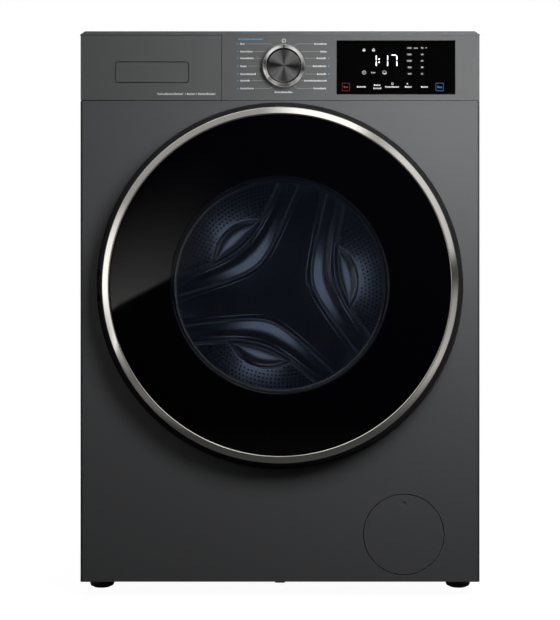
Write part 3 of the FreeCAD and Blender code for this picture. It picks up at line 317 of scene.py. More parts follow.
def rounded_section(corners, radius, steps=4):
    """A closed section of (radius, depth) corners with each corner rounded."""
    section = []
    count = len(corners)
    for index, corner in enumerate(corners):
        spot = Vector(corner)
        before = Vector(corners[index - 1]) - spot
        after = Vector(corners[(index + 1) % count]) - spot
        reach = min(radius, before.length * 0.45, after.length * 0.45)
        if corner[0] <= 0 or reach <= 0:
            section.append(spot)
            continue
        start = spot + before.normalized() * reach
        end = spot + after.normalized() * reach
        for step in range(steps + 1):
            part = step / steps
            section.append(
                start * (1 - part) ** 2 + spot * (2 * part * (1 - part)) + end * part**2
            )
    return section


def lathe(name, section, middle, looks, pick=None, segments=240):
    """Turns a closed section of (radius, Y) points about the Y axis through middle."""
    points = []
    rings = []
    for radius, depth in section:
        if radius <= 0:
            rings.append([len(points)] * segments)
            points.append((middle.x, depth, middle.z))
            continue
        rings.append(list(range(len(points), len(points) + segments)))
        for step in range(segments):
            points.append(on_circle(middle, radius, TAU * step / segments, depth))
    faces = []
    indices = []
    for index, ring in enumerate(rings):
        after_index = (index + 1) % len(rings)
        following = rings[after_index]
        here = Vector(section[index])
        there = Vector(section[after_index])
        if here[0] <= 0 and there[0] <= 0:
            continue
        chosen = pick((here + there) / 2) if pick else 0
        for step in range(segments):
            after = (step + 1) % segments
            corners = [ring[step], ring[after], following[after], following[step]]
            faces.append(tuple(dict.fromkeys(corners)))
            indices.append(chosen)
    obj = mesh_object(name, points, faces, looks, indices)
    settle(obj)
    return obj


CRISP_ANGLE = math.radians(38)


def settle(obj):
    """Turns all faces outwards and keeps true corners crisp."""
    shape = bmesh.new()
    shape.from_mesh(obj.data)
    bmesh.ops.recalc_face_normals(shape, faces=shape.faces)
    shape.to_mesh(obj.data)
    shape.free()
    obj.data.set_sharp_from_angle(angle=CRISP_ANGLE)


def stand_for(obj, body, slot, *nodes):
    """Rides a piece on a body and hides the CAD nodes it stands for; the slot is not used."""
    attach(obj, body)
    if nodes:
        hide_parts(*nodes)
    return obj


# ---------------------------------------------------------------- door


DOOR_GLASS_WALL = 4 * MM


def printed_glass():
    """Domed outer glass with a black printed border round a clear window."""
    low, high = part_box("door_glass")
    thick = DOOR_GLASS_WALL
    dome = (high.y - thick) - low.y
    steps = 40
    front = []
    back = []
    for step in range(steps + 1):
        radius = GLASS_RADIUS * step / steps
        depth = low.y + dome * (radius / GLASS_RADIUS) ** 2
        front.append((radius, depth))
        back.append((radius, depth + thick))
    window_step = round(steps * WINDOW_RADIUS / GLASS_RADIUS)
    front[window_step] = (WINDOW_RADIUS, low.y + dome * (WINDOW_RADIUS / GLASS_RADIUS) ** 2)
    back[window_step] = (WINDOW_RADIUS, front[window_step][1] + thick)
    section = front[:-1]
    radius, depth = front[-1]
    ease = 0.8 * MM
    section += [(radius - ease, depth - 0.02 * MM), (radius, depth + ease)]
    section += [(radius, depth + thick - ease), (radius - ease, depth + thick)]
    section += back[-2::-1]

    def pick(spot):
        return 0 if spot[0] < WINDOW_RADIUS else 1

    looks = [LOOKS["tinted_glass"], PRINTED_BLACK]
    obj = lathe("door_glass_printed", section, DOOR, looks, pick)
    stand_for(obj, "door", "tinted_glass", "door_glass")


def trim_ring():
    """Bright ring round the glass: a flared band with a rolled inner edge."""
    low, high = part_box("door_trim_ring")
    outer = half_width("door_trim_ring")
    inner = GLASS_RADIUS + 0.3 * MM
    corners = [
        (inner, high.y),
        (inner, low.y + 1.2 * MM),
        (inner + 1.3 * MM, low.y),
        (outer - 0.6 * MM, low.y + 2.3 * MM),
        (outer, low.y + 3.4 * MM),
        (outer, high.y),
    ]
    section = rounded_section(corners, 0.7 * MM, 4)
    obj = lathe("door_trim_bright", section, DOOR, [LOOKS["chrome"]], segments=360)
    stand_for(obj, "door", "chrome", "door_trim_ring")


def bowl():
    """Smooth pressed glass bowl."""
    low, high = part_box("door_bowl")
    wall = DOOR_GLASS_WALL
    mouth = BOWL_RADIUS - 15 * MM
    outer = [
        (BOWL_RADIUS, low.y),
        (BOWL_RADIUS, low.y + wall),
        (mouth, low.y + wall),
        (mouth - 3 * MM, FRONT + 20 * MM),
        (mouth - 35 * MM, high.y - 16 * MM),
        (mouth - 58 * MM, high.y - 2 * MM),
        (0, high.y),
    ]
    inner = [
        (0, high.y - wall),
        (mouth - 59 * MM, high.y - 6 * MM),
        (mouth - 38.7 * MM, high.y - 18 * MM),
        (mouth - 7 * MM, FRONT + 19 * MM),
        (mouth - 1 * MM, low.y),
    ]
    section = rounded_section(outer + inner, 18 * MM, 8)

    def pick(spot):
        return 1 if spot[0] > mouth - 0.5 * MM else 0

    obj = lathe("door_bowl_pressed", section, DOOR, [LOOKS["clear_glass"], PRINTED_BLACK], pick)
    stand_for(obj, "door", "clear_glass", "door_bowl")


# ---------------------------------------------------------------- drum

# the pressed back of the drum: angles of its three lobes, and ridges as parts of its radius
ARM_LOBES = (math.radians(132), math.radians(252), math.radians(12))
INNER_RIDGE = 0.235
OUTER_RIDGE = 0.43
RIDGE_SPREAD = 1.36
STEEPEST_LEAN = math.radians(86)
ALMOND_TIP = 0.60
ALMOND_FALL = 0.10
ALMOND_HALF_ANGLE = math.radians(34)
STAR_DEPTH = 5.5 * MM
INNER_CREST = 3.2 * MM
OUTER_CREST = 3.6 * MM
BAND_DEPTH = 2.5 * MM
ALMOND_DEPTH = 4.5 * MM
# how far the pressed sheet stands in front of the CAD sheet, and how far the painted shade of a
# hole stands above it
SHEET_FORWARD = 4.7 * MM
HOLE_PROUD = 0.3 * MM


def lobe_angle(turn):
    """The signed angle from the nearest pressed lobe's middle."""
    return min(
        (math.remainder(turn - middle, TAU) for middle in ARM_LOBES),
        key=abs,
    )


def ridge_radius(start, away):
    """The radius of a ridge that sweeps out from a lobe's middle towards the arms."""
    lean = min(abs(away) * RIDGE_SPREAD, STEEPEST_LEAN)
    return start / math.cos(lean)


def almond_reach(away):
    """The outer end of the hollow between the lobes' ridges, as a part of the drum's radius."""
    return ALMOND_TIP - ALMOND_FALL * (away / ALMOND_HALF_ANGLE) ** 2


def bell(value, width):
    """A smooth crest of height one at zero."""
    return math.exp(-((value / width) ** 2))


def smooth(value):
    """A smooth step from zero to one."""
    value = min(1.0, max(0.0, value))
    return value * value * (3 - 2 * value)


def drum_relief(part, turn):
    """How far the drum's pressed back stands towards the door, in metres."""
    away = lobe_angle(turn)
    inner = ridge_radius(INNER_RIDGE, away)
    outer = ridge_radius(OUTER_RIDGE, away)
    lean = math.cos(min(abs(away) * RIDGE_SPREAD, math.radians(80)))
    from_inner = (part - inner) * lean
    from_outer = (part - outer) * lean
    star = -STAR_DEPTH * (1 - smooth(from_inner / 0.03 + 0.5))
    crest = INNER_CREST * bell(from_inner, 0.016) + OUTER_CREST * bell(from_outer, 0.018)
    band = -BAND_DEPTH * bell(from_outer + 0.09, 0.07)
    reach = almond_reach(away)
    almond = 0.0
    if outer < part < reach:
        across = (part - outer) / (reach - outer)
        almond = -ALMOND_DEPTH * math.sin(math.pi * across) ** 0.6
    fade = 1 - smooth((part - 0.86) / 0.1)
    return (star + crest + band + almond) * fade


def drum_hole_shade(name, spots, radius, corners):
    """Many-sided faces of painted shade where the drum's holes are, from spots of a middle and two
    directions.
    """
    points = []
    faces = []
    for middle, along, across in spots:
        start = len(points)
        for corner in range(corners):
            spin = TAU * corner / corners
            points.append(
                middle + along * (radius * math.cos(spin)) + across * (radius * math.sin(spin))
            )
        faces.append(tuple(range(start, start + corners)))
    holes = mesh_object(name, points, faces, [HOLE_SHADE_AND_POINTER_BLACK])
    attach(holes, "drum")


def drum_back():
    """Pressed back of the drum, with its three-armed star, ridges and almond hollows."""
    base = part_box("drum_back")[1].y - 1.2 * MM
    rings = 130
    segments = 420

    def sheet_depth(part, turn):
        return base - drum_relief(part, turn) - SHEET_FORWARD

    points = [(DRUM.x, sheet_depth(1 / rings, 0.0), DRUM.z)]
    for ring in range(1, rings + 1):
        part = ring / rings
        for step in range(segments):
            turn = TAU * step / segments
            points.append(on_circle(DRUM, part * DRUM_RADIUS, turn, sheet_depth(part, turn)))
    faces = []
    for step in range(segments):
        faces.append((0, 1 + step, 1 + (step + 1) % segments))
    for ring in range(rings - 1):
        start = 1 + ring * segments
        beyond = start + segments
        for step in range(segments):
            after = (step + 1) % segments
            faces.append((start + step, beyond + step, beyond + after, start + after))
    obj = mesh_object("drum_back_pressed", points, faces, [DRUM_STEEL])
    obj.data.flip_normals()
    stand_for(obj, "drum", "steel", "drum_back")

    # the back's holes, as near-black faces of painted shade
    spots = []
    pitch = 7.4 * MM
    for row in range(9):
        part = 0.585 + row * 0.029
        count = round(TAU * part * DRUM_RADIUS / pitch)
        for number in range(count):
            turn = TAU * (number + 0.5 * (row % 2)) / count
            away = abs(lobe_angle(turn))
            in_sector = away < math.radians(37) and part > ridge_radius(OUTER_RIDGE, away) + 0.035
            if in_sector and part > almond_reach(away) + 0.02:
                depth = sheet_depth(part, turn) - HOLE_PROUD
                middle = Vector(on_circle(DRUM, part * DRUM_RADIUS, turn, depth))
                spots.append((middle, Vector((1, 0, 0)), Vector((0, 0, 1))))
    drum_hole_shade("drum_back_hole_shade", spots, 1.7 * MM, 8)


def drum_wrap():
    """Rows of drain holes round the drum's wall, drawn as near-black faces of painted shade."""
    low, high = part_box("drum_shell")
    radius = half_width("drum_shell") - 1.3 * MM
    margin = 28 * MM
    rows = 20
    around = 84
    spots = []
    for row in range(rows):
        depth = low.y + margin + row * (high.y - low.y - 2 * margin) / (rows - 1)
        for number in range(around):
            turn = TAU * (number + 0.5 * (row % 2)) / around
            outward = Vector((math.cos(turn), 0, math.sin(turn)))
            side = Vector((-math.sin(turn), 0, math.cos(turn)))
            middle = Vector((DRUM.x, depth, DRUM.z)) + outward * radius
            spots.append((middle, side, Vector((0, 1, 0))))
    drum_hole_shade("drum_wall_hole_shade", spots, 2.0 * MM, 6)


# ---------------------------------------------------------------- pieces between the cabinet and the tub

# the bellows' section: radius in mm from the lip or the neck, and depth behind the front
GASKET_LIP = 201.7
GASKET_NECK = 188.4
GASKET_OUTSIDE = (
    (0, 7.5), (-4.7, 4.8), (-32, 6.5), (-44.7, 11.5), (-46.5, 16), (-43.7, 19.5), (-29.7, 27),
    (-11.7, 33.5), (-8.7, 37), (-8.7, 43), (-12.7, 50), (-14.9, 56),
)
GASKET_END = (
    (0, 68), (0, 82), (3.2, 82), (3.2, 66), (1.8, 57), (3.8, 51), (7.8, 44), (7.8, 35.5),
    (3.6, 30.5),
)
GASKET_INSIDE = (
    (-27.7, 24), (-40.7, 17), (-41.2, 13.5), (-30.2, 9.5), (-5.7, 8), (-3.3, 10), (-3.3, 17),
    (0, 17),
)
GASKET_SECTION = (
    (GASKET_LIP, GASKET_OUTSIDE), (GASKET_NECK, GASKET_END), (GASKET_LIP, GASKET_INSIDE),
)


def gasket():
    """Rubber bellows between the cabinet's mouth and the tub."""
    corners = []
    for radius, part in GASKET_SECTION:
        corners += [((radius + across) * MM, FRONT + depth * MM) for across, depth in part]
    section = rounded_section(corners, 3 * MM, 3)
    obj = lathe("gasket_bellows", section, DRUM, [LOOKS["rubber"]], segments=180)
    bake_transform(obj)
    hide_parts("gasket")


def corrugated(node, slot, tub_on_top):
    """Ribbed upright hose between the cabinet and the tub."""
    low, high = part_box(node)
    outer = (high.x - low.x) / 2
    wall = 3 * MM
    cuff = 14 * MM
    pitch = 6 * MM
    groove = outer - 1.4 * MM
    held = 10 * MM
    ribs = max(1, int((high.z - low.z - 2 * cuff) / pitch))
    section = [(outer - wall, low.z), (outer, low.z), (outer, low.z + cuff)]
    for number in range(ribs):
        foot = low.z + cuff + pitch * number
        section += [(groove, foot + pitch * 0.2), (groove, foot + pitch * 0.45)]
        section += [(outer, foot + pitch * 0.7), (outer, foot + pitch * 0.95)]
    section += [(outer, high.z), (outer - wall, high.z)]
    for number in range(2 * ribs):
        section.append((outer - wall, high.z - (high.z - low.z) * (number + 1) / (2 * ribs + 1)))
    obj = lathe(node + "_ribbed", section, Vector((0, 0, 0)), [LOOKS[slot]], segments=48)
    middle = (low + high) / 2
    obj.data.transform(Matrix.Translation((middle.x, middle.y, 0)) @ QUARTER_TURN)
    ends = [(middle.x, middle.y, low.z + held), (middle.x, middle.y, high.z - held)]
    if not tub_on_top:
        ends.reverse()
    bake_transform(obj)
    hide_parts(node)


def springs():
    """The tub's two springs, which stretch between the cabinet's hangers and the tub's ears."""
    node = "suspension_springs"
    source = frame["nodes"][node]
    mesh = source.data.copy()
    mesh.transform(source.matrix_world)
    obj = placed("suspension_springs_coiled", mesh)
    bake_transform(obj)
    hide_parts(node)


# ---------------------------------------------------------------- control panel

# widths and heights of the strokes that stand for lettering, as parts of the line height
STROKES = (
    (0.42, 1.0), (0.3, 0.7), (0.38, 0.7), (0.2, 1.0), (0.36, 0.7), (0.3, 0.7), (0.22, 0.92),
)
STROKE_SPACE = 0.3


class Print:
    """Flat marks gathered on one plane that faces the front."""

    def __init__(self, depth):
        self.depth = depth
        self.points = []
        self.faces = []

    def shape(self, corners):
        """Adds one face by its (x, z) corners, counter-clockwise as seen from the front."""
        start = len(self.points)
        self.points += [(x, self.depth, z) for x, z in corners]
        self.faces.append(tuple(range(start, len(self.points))))

    def block(self, left, right, low, high):
        self.shape([(left, low), (right, low), (right, high), (left, high)])

    def line(self, start, end, thick):
        """Adds a straight line between two (x, z) points."""
        start = Vector(start)
        end = Vector(end)
        side = (end - start).orthogonal().normalized() * thick / 2
        self.shape([start - side, end - side, end + side, start + side])

    def ring(self, middle, radius, thick, gap=0.0):
        """Adds a circle, open at its top by an angle."""
        steps = 28
        spots = []
        for step in range(steps + 1):
            turn = TAU / 4 + gap / 2 + (TAU - gap) * step / steps
            spots.append(Vector((math.cos(turn), math.sin(turn))))
        middle = Vector(middle)
        for first, second in zip(spots, spots[1:]):
            inner = radius - thick / 2
            outer = radius + thick / 2
            self.shape([
                middle + first * inner,
                middle + first * outer,
                middle + second * outer,
                middle + second * inner,
            ])

    def frame(self, x, z, half, thick):
        """Adds a square outline."""
        signs = ((-1, -1), (1, -1), (1, 1), (-1, 1))
        corners = [(x + across * half, z + up * half) for across, up in signs]
        for first, second in zip(corners, corners[1:] + corners[:1]):
            self.line(first, second, thick)

    def words(self, left, middle, length, tall):
        """Adds a row of small uneven strokes that looks like small print but says nothing."""
        at = left
        number = 0
        while at < left + length:
            wide, high = STROKES[number % len(STROKES)]
            foot = middle - tall / 2
            self.block(at, at + wide * tall, foot, foot + high * tall)
            at += (wide + STROKE_SPACE) * tall
            number += 1

    def done(self, name, look, body="cabinet"):
        obj = mesh_object(name, self.points, self.faces, [look])
        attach(obj, body)


PRINT_GAP = 0.08 * MM
FASCIA_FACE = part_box("fascia")[0].y - PRINT_GAP
SCREEN_LOW, SCREEN_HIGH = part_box("display_glass")
SCREEN_FACE = SCREEN_LOW.y - PRINT_GAP

# the programme list: each row's height over the knob's middle, and its words' lengths, in mm
LIST_ROWS = (33.2, 21.7, 11.8, 0.0, -11.8, -21.7, -33.2)
LEFT_WORDS = (5.7, 17.5, 20.0, 8.8, 22.8, 13.4, 18.8)
RIGHT_WORDS = (17.4, 8.2, 13.9, 19.6, 13.4, 32.8, 18.5)
LEFT_EDGE = KNOB.x - 64.6 * MM
RIGHT_EDGE = KNOB.x + 63 * MM


def programme_list():
    """The list round the knob, as strokes that say nothing, with a leader line for each row."""
    ink = Print(FASCIA_FACE)
    lines = Print(FASCIA_FACE)
    middle = KNOB.z + 1.5 * MM
    reach = 33.6 * MM
    tall = 2.5 * MM
    thin = 0.35 * MM
    for side, edge, lengths in ((-1, LEFT_EDGE, LEFT_WORDS), (1, RIGHT_EDGE, RIGHT_WORDS)):
        for lift, length in zip(LIST_ROWS, lengths):
            z = middle + lift * MM
            start = edge if side < 0 else edge - length * MM
            ink.words(start, z, length * MM, tall)
            stop = start - 1.5 * MM if side > 0 else start + length * MM + 2.5 * MM
            if abs(lift) * MM < reach - 2 * MM:
                across = math.sqrt(reach**2 - (lift * MM) ** 2)
                lines.line((stop, z), (KNOB.x + side * across, z), thin)
            else:
                bend = KNOB.x + side * 20.5 * MM
                lines.line((stop, z), (bend, z), thin)
                fall = math.copysign(3.3 * MM, lift)
                lines.line((bend, z), (bend - side * 5.5 * MM, z - fall), thin)
    ink.words(KNOB.x - 13.5 * MM, middle - 38.8 * MM, 26 * MM, tall)
    ink.ring((KNOB.x, middle + 38.1 * MM), 2.6 * MM, 0.75 * MM, math.radians(60))
    ink.line((KNOB.x, middle + 38.4 * MM), (KNOB.x, middle + 41.4 * MM), 0.7 * MM)
    ink.done("programme_words", LABEL_INK)
    lines.done("programme_lines", LINE_INK)

    blue = Print(FASCIA_FACE)
    blue.words(LEFT_EDGE - 3 * MM, middle + 40.3 * MM, 36 * MM, 2.4 * MM)
    for lift in LIST_ROWS:
        blue.ring((LEFT_EDGE - 4.4 * MM, middle + lift * MM), 0.7 * MM, 0.5 * MM)
    for lift in LIST_ROWS[2:5]:
        blue.ring((RIGHT_EDGE + 4.2 * MM, middle + lift * MM), 0.7 * MM, 0.5 * MM)
    blue.done("programme_dots", BLUE_INK)


def drawer_print():
    """The line of small print at the lower right of the drawer's front, with two dividers."""
    low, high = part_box("drawer_front")
    line = Print(low.y - PRINT_GAP)
    right = high.x - 9.6 * MM
    middle = low.z + 9.2 * MM
    half = 1.8 * MM
    for back, length in ((85.5, 38.0), (41.5, 11.5), (24.5, 24.5)):
        line.words(right - back * MM, middle, length * MM, 3.0 * MM)
    for back in (44.5, 27.5):
        line.block(right - back * MM, right - (back - 0.4) * MM, middle - half, middle + half)
    line.done("drawer_print", LABEL_INK, "drawer")


# the height of a figure as a part of the type's size
FIGURE_HEIGHT = 0.72


def caption(name, figures, x, z, tall, align):
    """Flat figures on the display, placed by their edge or middle."""
    curve = bpy.data.curves.new(name, "FONT")
    curve.body = figures
    curve.size = tall / FIGURE_HEIGHT
    curve.align_x = align
    curve.align_y = "CENTER"
    curve.resolution_u = 2
    made = placed(name + "_curve", curve)
    bpy.context.view_layer.update()
    mesh = bpy.data.meshes.new_from_object(made)
    mesh.transform(Matrix.Translation((x, SCREEN_FACE, z)) @ QUARTER_TURN)
    bpy.data.objects.remove(made)
    mesh.materials.clear()
    mesh.materials.append(DIM_GLOW)
    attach(placed(name, mesh), "cabinet")


SPIN_SPEEDS = ("1400", "1200", "1000", "800", "600")
WATER_HEATS = ("90", "60", "40", "30", "20")


def display():
    """Clock figures, number columns and touch keys on the dark glass."""
    wide = SCREEN_HIGH.x - SCREEN_LOW.x
    tall = SCREEN_HIGH.z - SCREEN_LOW.z

    def at(across, up):
        return SCREEN_LOW.x + wide * across, SCREEN_LOW.z + tall * up

    clock = Print(SCREEN_FACE)
    half = 0.55 * MM
    for across in (0.3345, 0.43, 0.507):
        for low, high in ((0.527, 0.607), (0.636, 0.716)):
            x, bottom = at(across, low)
            clock.block(x - half, x + half, bottom, at(across, high)[1])
    left, high = at(0.4636, 0.735)
    clock.block(left, at(0.498, 0)[0], high - 1.0 * MM, high)
    for up in (0.594, 0.652):
        x, z = at(0.358, up)
        clock.block(x - 0.8 * MM, x + 0.8 * MM, z - 0.8 * MM, z + 0.8 * MM)
    clock.done("clock_figures", WHITE_GLOW)

    figure = 2.6 * MM
    for row, (speed, heat) in enumerate(zip(SPIN_SPEEDS, WATER_HEATS)):
        up = 0.859 - 0.12 * row
        caption("speed_" + speed, speed, *at(0.631, up), figure, "RIGHT")
        caption("heat_" + heat, heat, *at(0.72, up), figure, "CENTER")

    icons = Print(SCREEN_FACE)
    for across in (0.23, 0.311):
        x, z = at(across, 0.825)
        icons.block(x - 2 * MM, x + 2 * MM, z - 2.2 * MM, z + 0.3 * MM)
        icons.ring((x, z + 0.6 * MM), 1.3 * MM, 0.5 * MM)
    for across in (0.232, 0.404):
        icons.ring(at(across, 0.405), 2.6 * MM, 0.5 * MM)
    x, z = at(0.232, 0.405)
    icons.line((x, z), (x + 1.2 * MM, z + 1.2 * MM), 0.5 * MM)
    icons.line((x, z), (x - 1.2 * MM, z + 1.2 * MM), 0.5 * MM)
    x, z = at(0.404, 0.405)
    icons.line((x - 3 * MM, z - 1.2 * MM), (x + 3 * MM, z - 1.2 * MM), 0.6 * MM)
    x, z = at(0.292, 0.405)
    icons.words(x, z, 6 * MM, 2 * MM)
    x, z = at(0.652, 0.859)
    icons.words(x, z, 6 * MM, 1.6 * MM)
    icons.ring(at(0.755, 0.866), 0.6 * MM, 0.4 * MM)
    icons.ring(at(0.47, 0.197), 1.5 * MM, 0.5 * MM)
    icons.ring(at(0.596, 0.197), 0.8 * MM, 0.5 * MM)
    icons.done("display_icons", DIM_GLOW)

    keys = Print(SCREEN_FACE)
    for across, up, length in (
        (0.209, 0.14, 13), (0.342, 0.172, 9.5), (0.342, 0.113, 11),
        (0.468, 0.14, 20), (0.605, 0.14, 10), (0.74, 0.14, 9.5),
    ):
        x, z = at(across, up)
        keys.words(x - length / 2 * MM, z, length * MM, 2.4 * MM)
    keys.done("key_words", KEY_GLOW)

    for name, across, look in (("start_key", 0.078, RED_GLOW), ("home_key", 0.868, BLUE_GLOW)):
        key = Print(SCREEN_FACE)
        x, z = at(across, 0.137)
        key.frame(x, z, half=5.6 * MM, thick=0.5 * MM)
        key.words(x - 3.2 * MM, z, 6 * MM, 3.6 * MM)
        key.done(name, look)


def knob():
    """The knob's flared bright ring with its black pointer, and its disc with turned grooves."""
    low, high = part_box("knob_ring")
    outer = half_width("knob_ring")
    inner = half_width("knob_disc")
    fall = 2.4 * MM
    corners = [
        (inner, high.y),
        (inner, low.y + 0.2 * MM),
        (inner + 0.5 * MM, low.y),
        (outer - 0.9 * MM, low.y + fall),
        (outer - 0.5 * MM, low.y + fall - 0.4 * MM),
        (outer, low.y + fall),
        (outer, high.y),
    ]
    section = rounded_section(corners, 0.3 * MM, 3)
    obj = lathe("knob_ring_bright", section, KNOB, [KNOB_CHROME], segments=160)
    stand_for(obj, "knob", "chrome", "knob_ring")

    points = []
    for x in (-1.1 * MM, 1.1 * MM):
        for radius, drop in ((inner + 0.3 * MM, 0.0), (outer - 0.7 * MM, fall)):
            for rise in (-0.08 * MM, 1.0 * MM):
                points.append((KNOB.x + x, low.y + drop + rise, KNOB.z + radius))
    faces = [(0, 4, 6, 2), (1, 3, 7, 5), (0, 1, 5, 4), (2, 6, 7, 3), (0, 2, 3, 1), (4, 5, 7, 6)]
    pointer = mesh_object("knob_pointer", points, faces, [HOLE_SHADE_AND_POINTER_BLACK])
    pointer.data.shade_flat()
    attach(pointer, "knob")

    low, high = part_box("knob_disc")
    pitch = 0.8 * MM
    grooves = int((inner - 1.2 * MM) / pitch)
    face = low.y + 0.3 * MM
    rim = inner - 0.1 * MM
    stem = 6 * MM
    shoulder = high.y - 10 * MM
    section = [(0, face)]
    for number in range(grooves):
        section.append(((number + 0.5) * pitch, low.y + 0.49 * MM))
        section.append(((number + 1) * pitch, face))
    section += [
        (inner - 0.5 * MM, face),
        (rim, low.y + 0.9 * MM),
        (rim, shoulder),
        (stem, shoulder),
        (stem, high.y),
        (0, high.y),
    ]
    obj = lathe("knob_disc_spun", section, KNOB, [LOOKS["spun_metal"]], segments=160)
    stand_for(obj, "knob", "spun_metal", "knob_disc")


# ---------------------------------------------------------------- stage, lights and camera


# the floor in metres from its middle, and how brightly the camera sees it
FLOOR_RADIUS = 6
FADE_START = 0.8
FADE_END = 1.8
FLOOR_GLOW = 0.96


def stage():
    """Pale floor, white to the camera and dim as a bounce, which fades into the surround."""
    bpy.ops.mesh.primitive_circle_add(vertices=96, radius=FLOOR_RADIUS, fill_type="NGON")
    floor = bpy.context.object
    floor.name = "floor"
    look = Look("floor").set(Base_Color=(0.08, 0.08, 0.08, 1), Roughness=0.8)
    look.set(Specular_IOR_Level=0.1, Emission_Color=(1, 1, 1, 1))
    path = look.nodes.new("ShaderNodeLightPath")
    glow = look.nodes.new("ShaderNodeMath")
    glow.operation = "MULTIPLY"
    glow.inputs[1].default_value = FLOOR_GLOW
    look.link(path.outputs["Is Camera Ray"], glow.inputs[0])
    look.link(glow.outputs["Value"], look.shader.inputs["Emission Strength"])
    length = look.nodes.new("ShaderNodeVectorMath")
    length.operation = "LENGTH"
    look.link(look.place, length.inputs[0])
    fade = look.span(length.outputs["Value"], 1.0, 0.0, start=FADE_START, end=FADE_END)
    look.link(fade, look.shader.inputs["Alpha"])
    floor.data.materials.append(look.material)


class Sky:
    """Helpers for the nodes of the world's shader."""

    def __init__(self, name):
        world = bpy.data.worlds.new(name)
        bpy.context.scene.world = world
        world.use_nodes = True
        self.nodes = world.node_tree.nodes
        self.links = world.node_tree.links

    def feed(self, socket, value):
        if isinstance(value, bpy.types.NodeSocket):
            self.links.new(value, socket)
        else:
            socket.default_value = value

    def math(self, operation, *values):
        node = self.nodes.new("ShaderNodeMath")
        node.operation = operation
        for socket, value in zip(node.inputs, values):
            self.feed(socket, value)
        return node.outputs["Value"]

    def step(self, field, start, end, low=0.0, high=1.0):
        """A smooth step between two values of a field."""
        node = self.nodes.new("ShaderNodeMapRange")
        node.interpolation_type = "SMOOTHSTEP"
        for socket, value in zip(node.inputs, (field, start, end, low, high)):
            self.feed(socket, value)
        return node.outputs["Result"]

    def beyond(self, ahead, start, end):
        """A smooth step from 0 to 1 between two angles, in degrees, from straight ahead."""
        return self.step(ahead, math.cos(math.radians(start)), math.cos(math.radians(end)))

    def blend(self, first, second, part):
        """The first level where the part is 0, the second where it is 1."""
        keep = self.math("MULTIPLY", first, self.math("SUBTRACT", 1.0, part))
        return self.math("ADD", keep, self.math("MULTIPLY", second, part))

    def ramp(self, field, stops):
        """Brightness by angle, from (degrees, brightness) stops between -180 and 180."""
        node = self.nodes.new("ShaderNodeValToRGB")
        elements = node.color_ramp.elements
        for number, (angle, level) in enumerate(stops):
            place = (angle + 180) / 360
            element = elements[number] if number < 2 else elements.new(place)
            element.position = place
            element.color = (level, level, level, 1)
        self.links.new(field, node.inputs["Fac"])
        return node.outputs["Color"]


# brightness of the studio round the view axis, from the right at 0 degrees over the top at 90:
# near straight ahead, in a narrow band beyond that, and out to the sides
NEAR_RING = (
    (-180, 1.4), (-167, 0.5), (-150, 0.16), (-122, 0.65), (-106, 0.28), (-75, 0.1), (-60, 0.5),
    (-46, 0.3), (-30, 0.55), (-2, 0.34), (4, 0.05), (9, 0.05), (14, 0.6), (48, 0.8), (59, 0.34),
    (66, 1.4), (84, 1.4), (95, 0.34), (150, 0.34), (163, 1.1), (180, 1.4),
)
FAN_RING = (
    (-180, 0.01), (-160, 0.04), (-148, 0.25), (-137, 0.62), (-122, 0.25), (-105, 0.03), (-92, 0.06),
    (-78, 0.5), (-66, 0.6), (-55, 0.35), (-40, 0.12), (-28, 0.02), (0, 0.01), (16, 0.05), (30, 0.4),
    (43, 0.65), (60, 0.25), (76, 0.1), (90, 0.22), (104, 0.55), (118, 0.65), (134, 0.35),
    (150, 0.05), (165, 0.01), (180, 0.01),
)
FAR_RING = (
    (-180, 0.11), (-165, 0.14), (-120, 0.18), (-75, 0.2), (-62, 0.45), (-56, 1.3), (-44, 1.3),
    (-38, 0.3), (-30, 0.2), (0, 0.12), (10, 0.02), (22, 0.02), (34, 0.3), (48, 0.8), (62, 1.0),
    (74, 0.7), (84, 0.25), (94, 0.25), (104, 0.8), (122, 1.0), (140, 0.8), (152, 0.5), (160, 0.05),
    (170, 0.02), (180, 0.11),
)


# how much of the surround is kept from diffuse light
DIFFUSE_CUT = 0.9


def surround():
    """White for the camera; for light and reflections a studio, dark straight ahead."""
    sky = Sky("studio")
    way = sky.nodes.new("ShaderNodeSeparateXYZ")
    sky.links.new(sky.nodes.new("ShaderNodeTexCoord").outputs["Generated"], way.inputs["Vector"])
    x = way.outputs["X"]
    z = way.outputs["Z"]
    ahead = sky.math("MULTIPLY", way.outputs["Y"], -1.0)
    turn = sky.math("ARCTAN2", z, x)
    turn = sky.math("ADD", sky.math("DIVIDE", turn, TAU), 0.5)

    near = sky.ramp(turn, NEAR_RING)
    far = sky.ramp(turn, FAR_RING)
    fans = sky.ramp(turn, FAN_RING)
    soft = sky.step(z, -0.4, 0.9, 0.12, 0.55)
    level = sky.blend(near, fans, sky.beyond(ahead, 45, 48))
    level = sky.blend(level, far, sky.beyond(ahead, 54, 57))
    level = sky.blend(level, soft, sky.beyond(ahead, 80, 95))
    level = sky.math("MULTIPLY", level, sky.beyond(ahead, 24, 32))
    level = sky.math("ADD", level, side_card(sky, x, z, ahead))

    path = sky.nodes.new("ShaderNodeLightPath")
    held_back = sky.math("MULTIPLY", path.outputs["Is Diffuse Ray"], DIFFUSE_CUT)
    share = sky.math("SUBTRACT", 1.0, held_back)
    room = sky.nodes["Background"]
    sky.links.new(sky.math("MULTIPLY", level, share), room.inputs["Strength"])
    room.inputs["Color"].default_value = (1.0, 0.985, 0.96, 1)
    seen = sky.nodes.new("ShaderNodeBackground")
    mix = sky.nodes.new("ShaderNodeMixShader")
    seen.inputs["Color"].default_value = (1, 1, 1, 1)
    sky.links.new(path.outputs["Is Camera Ray"], mix.inputs["Fac"])
    sky.links.new(room.outputs["Background"], mix.inputs[1])
    sky.links.new(seen.outputs["Background"], mix.inputs[2])
    sky.links.new(mix.outputs["Shader"], sky.nodes["World Output"].inputs["Surface"])


# the side card, in parts of the distance ahead: the foot and slope of its lower edge, and its
# height
CARD_FOOT = 0.209
CARD_SLOPE = 0.513
CARD_HEIGHT = 0.19


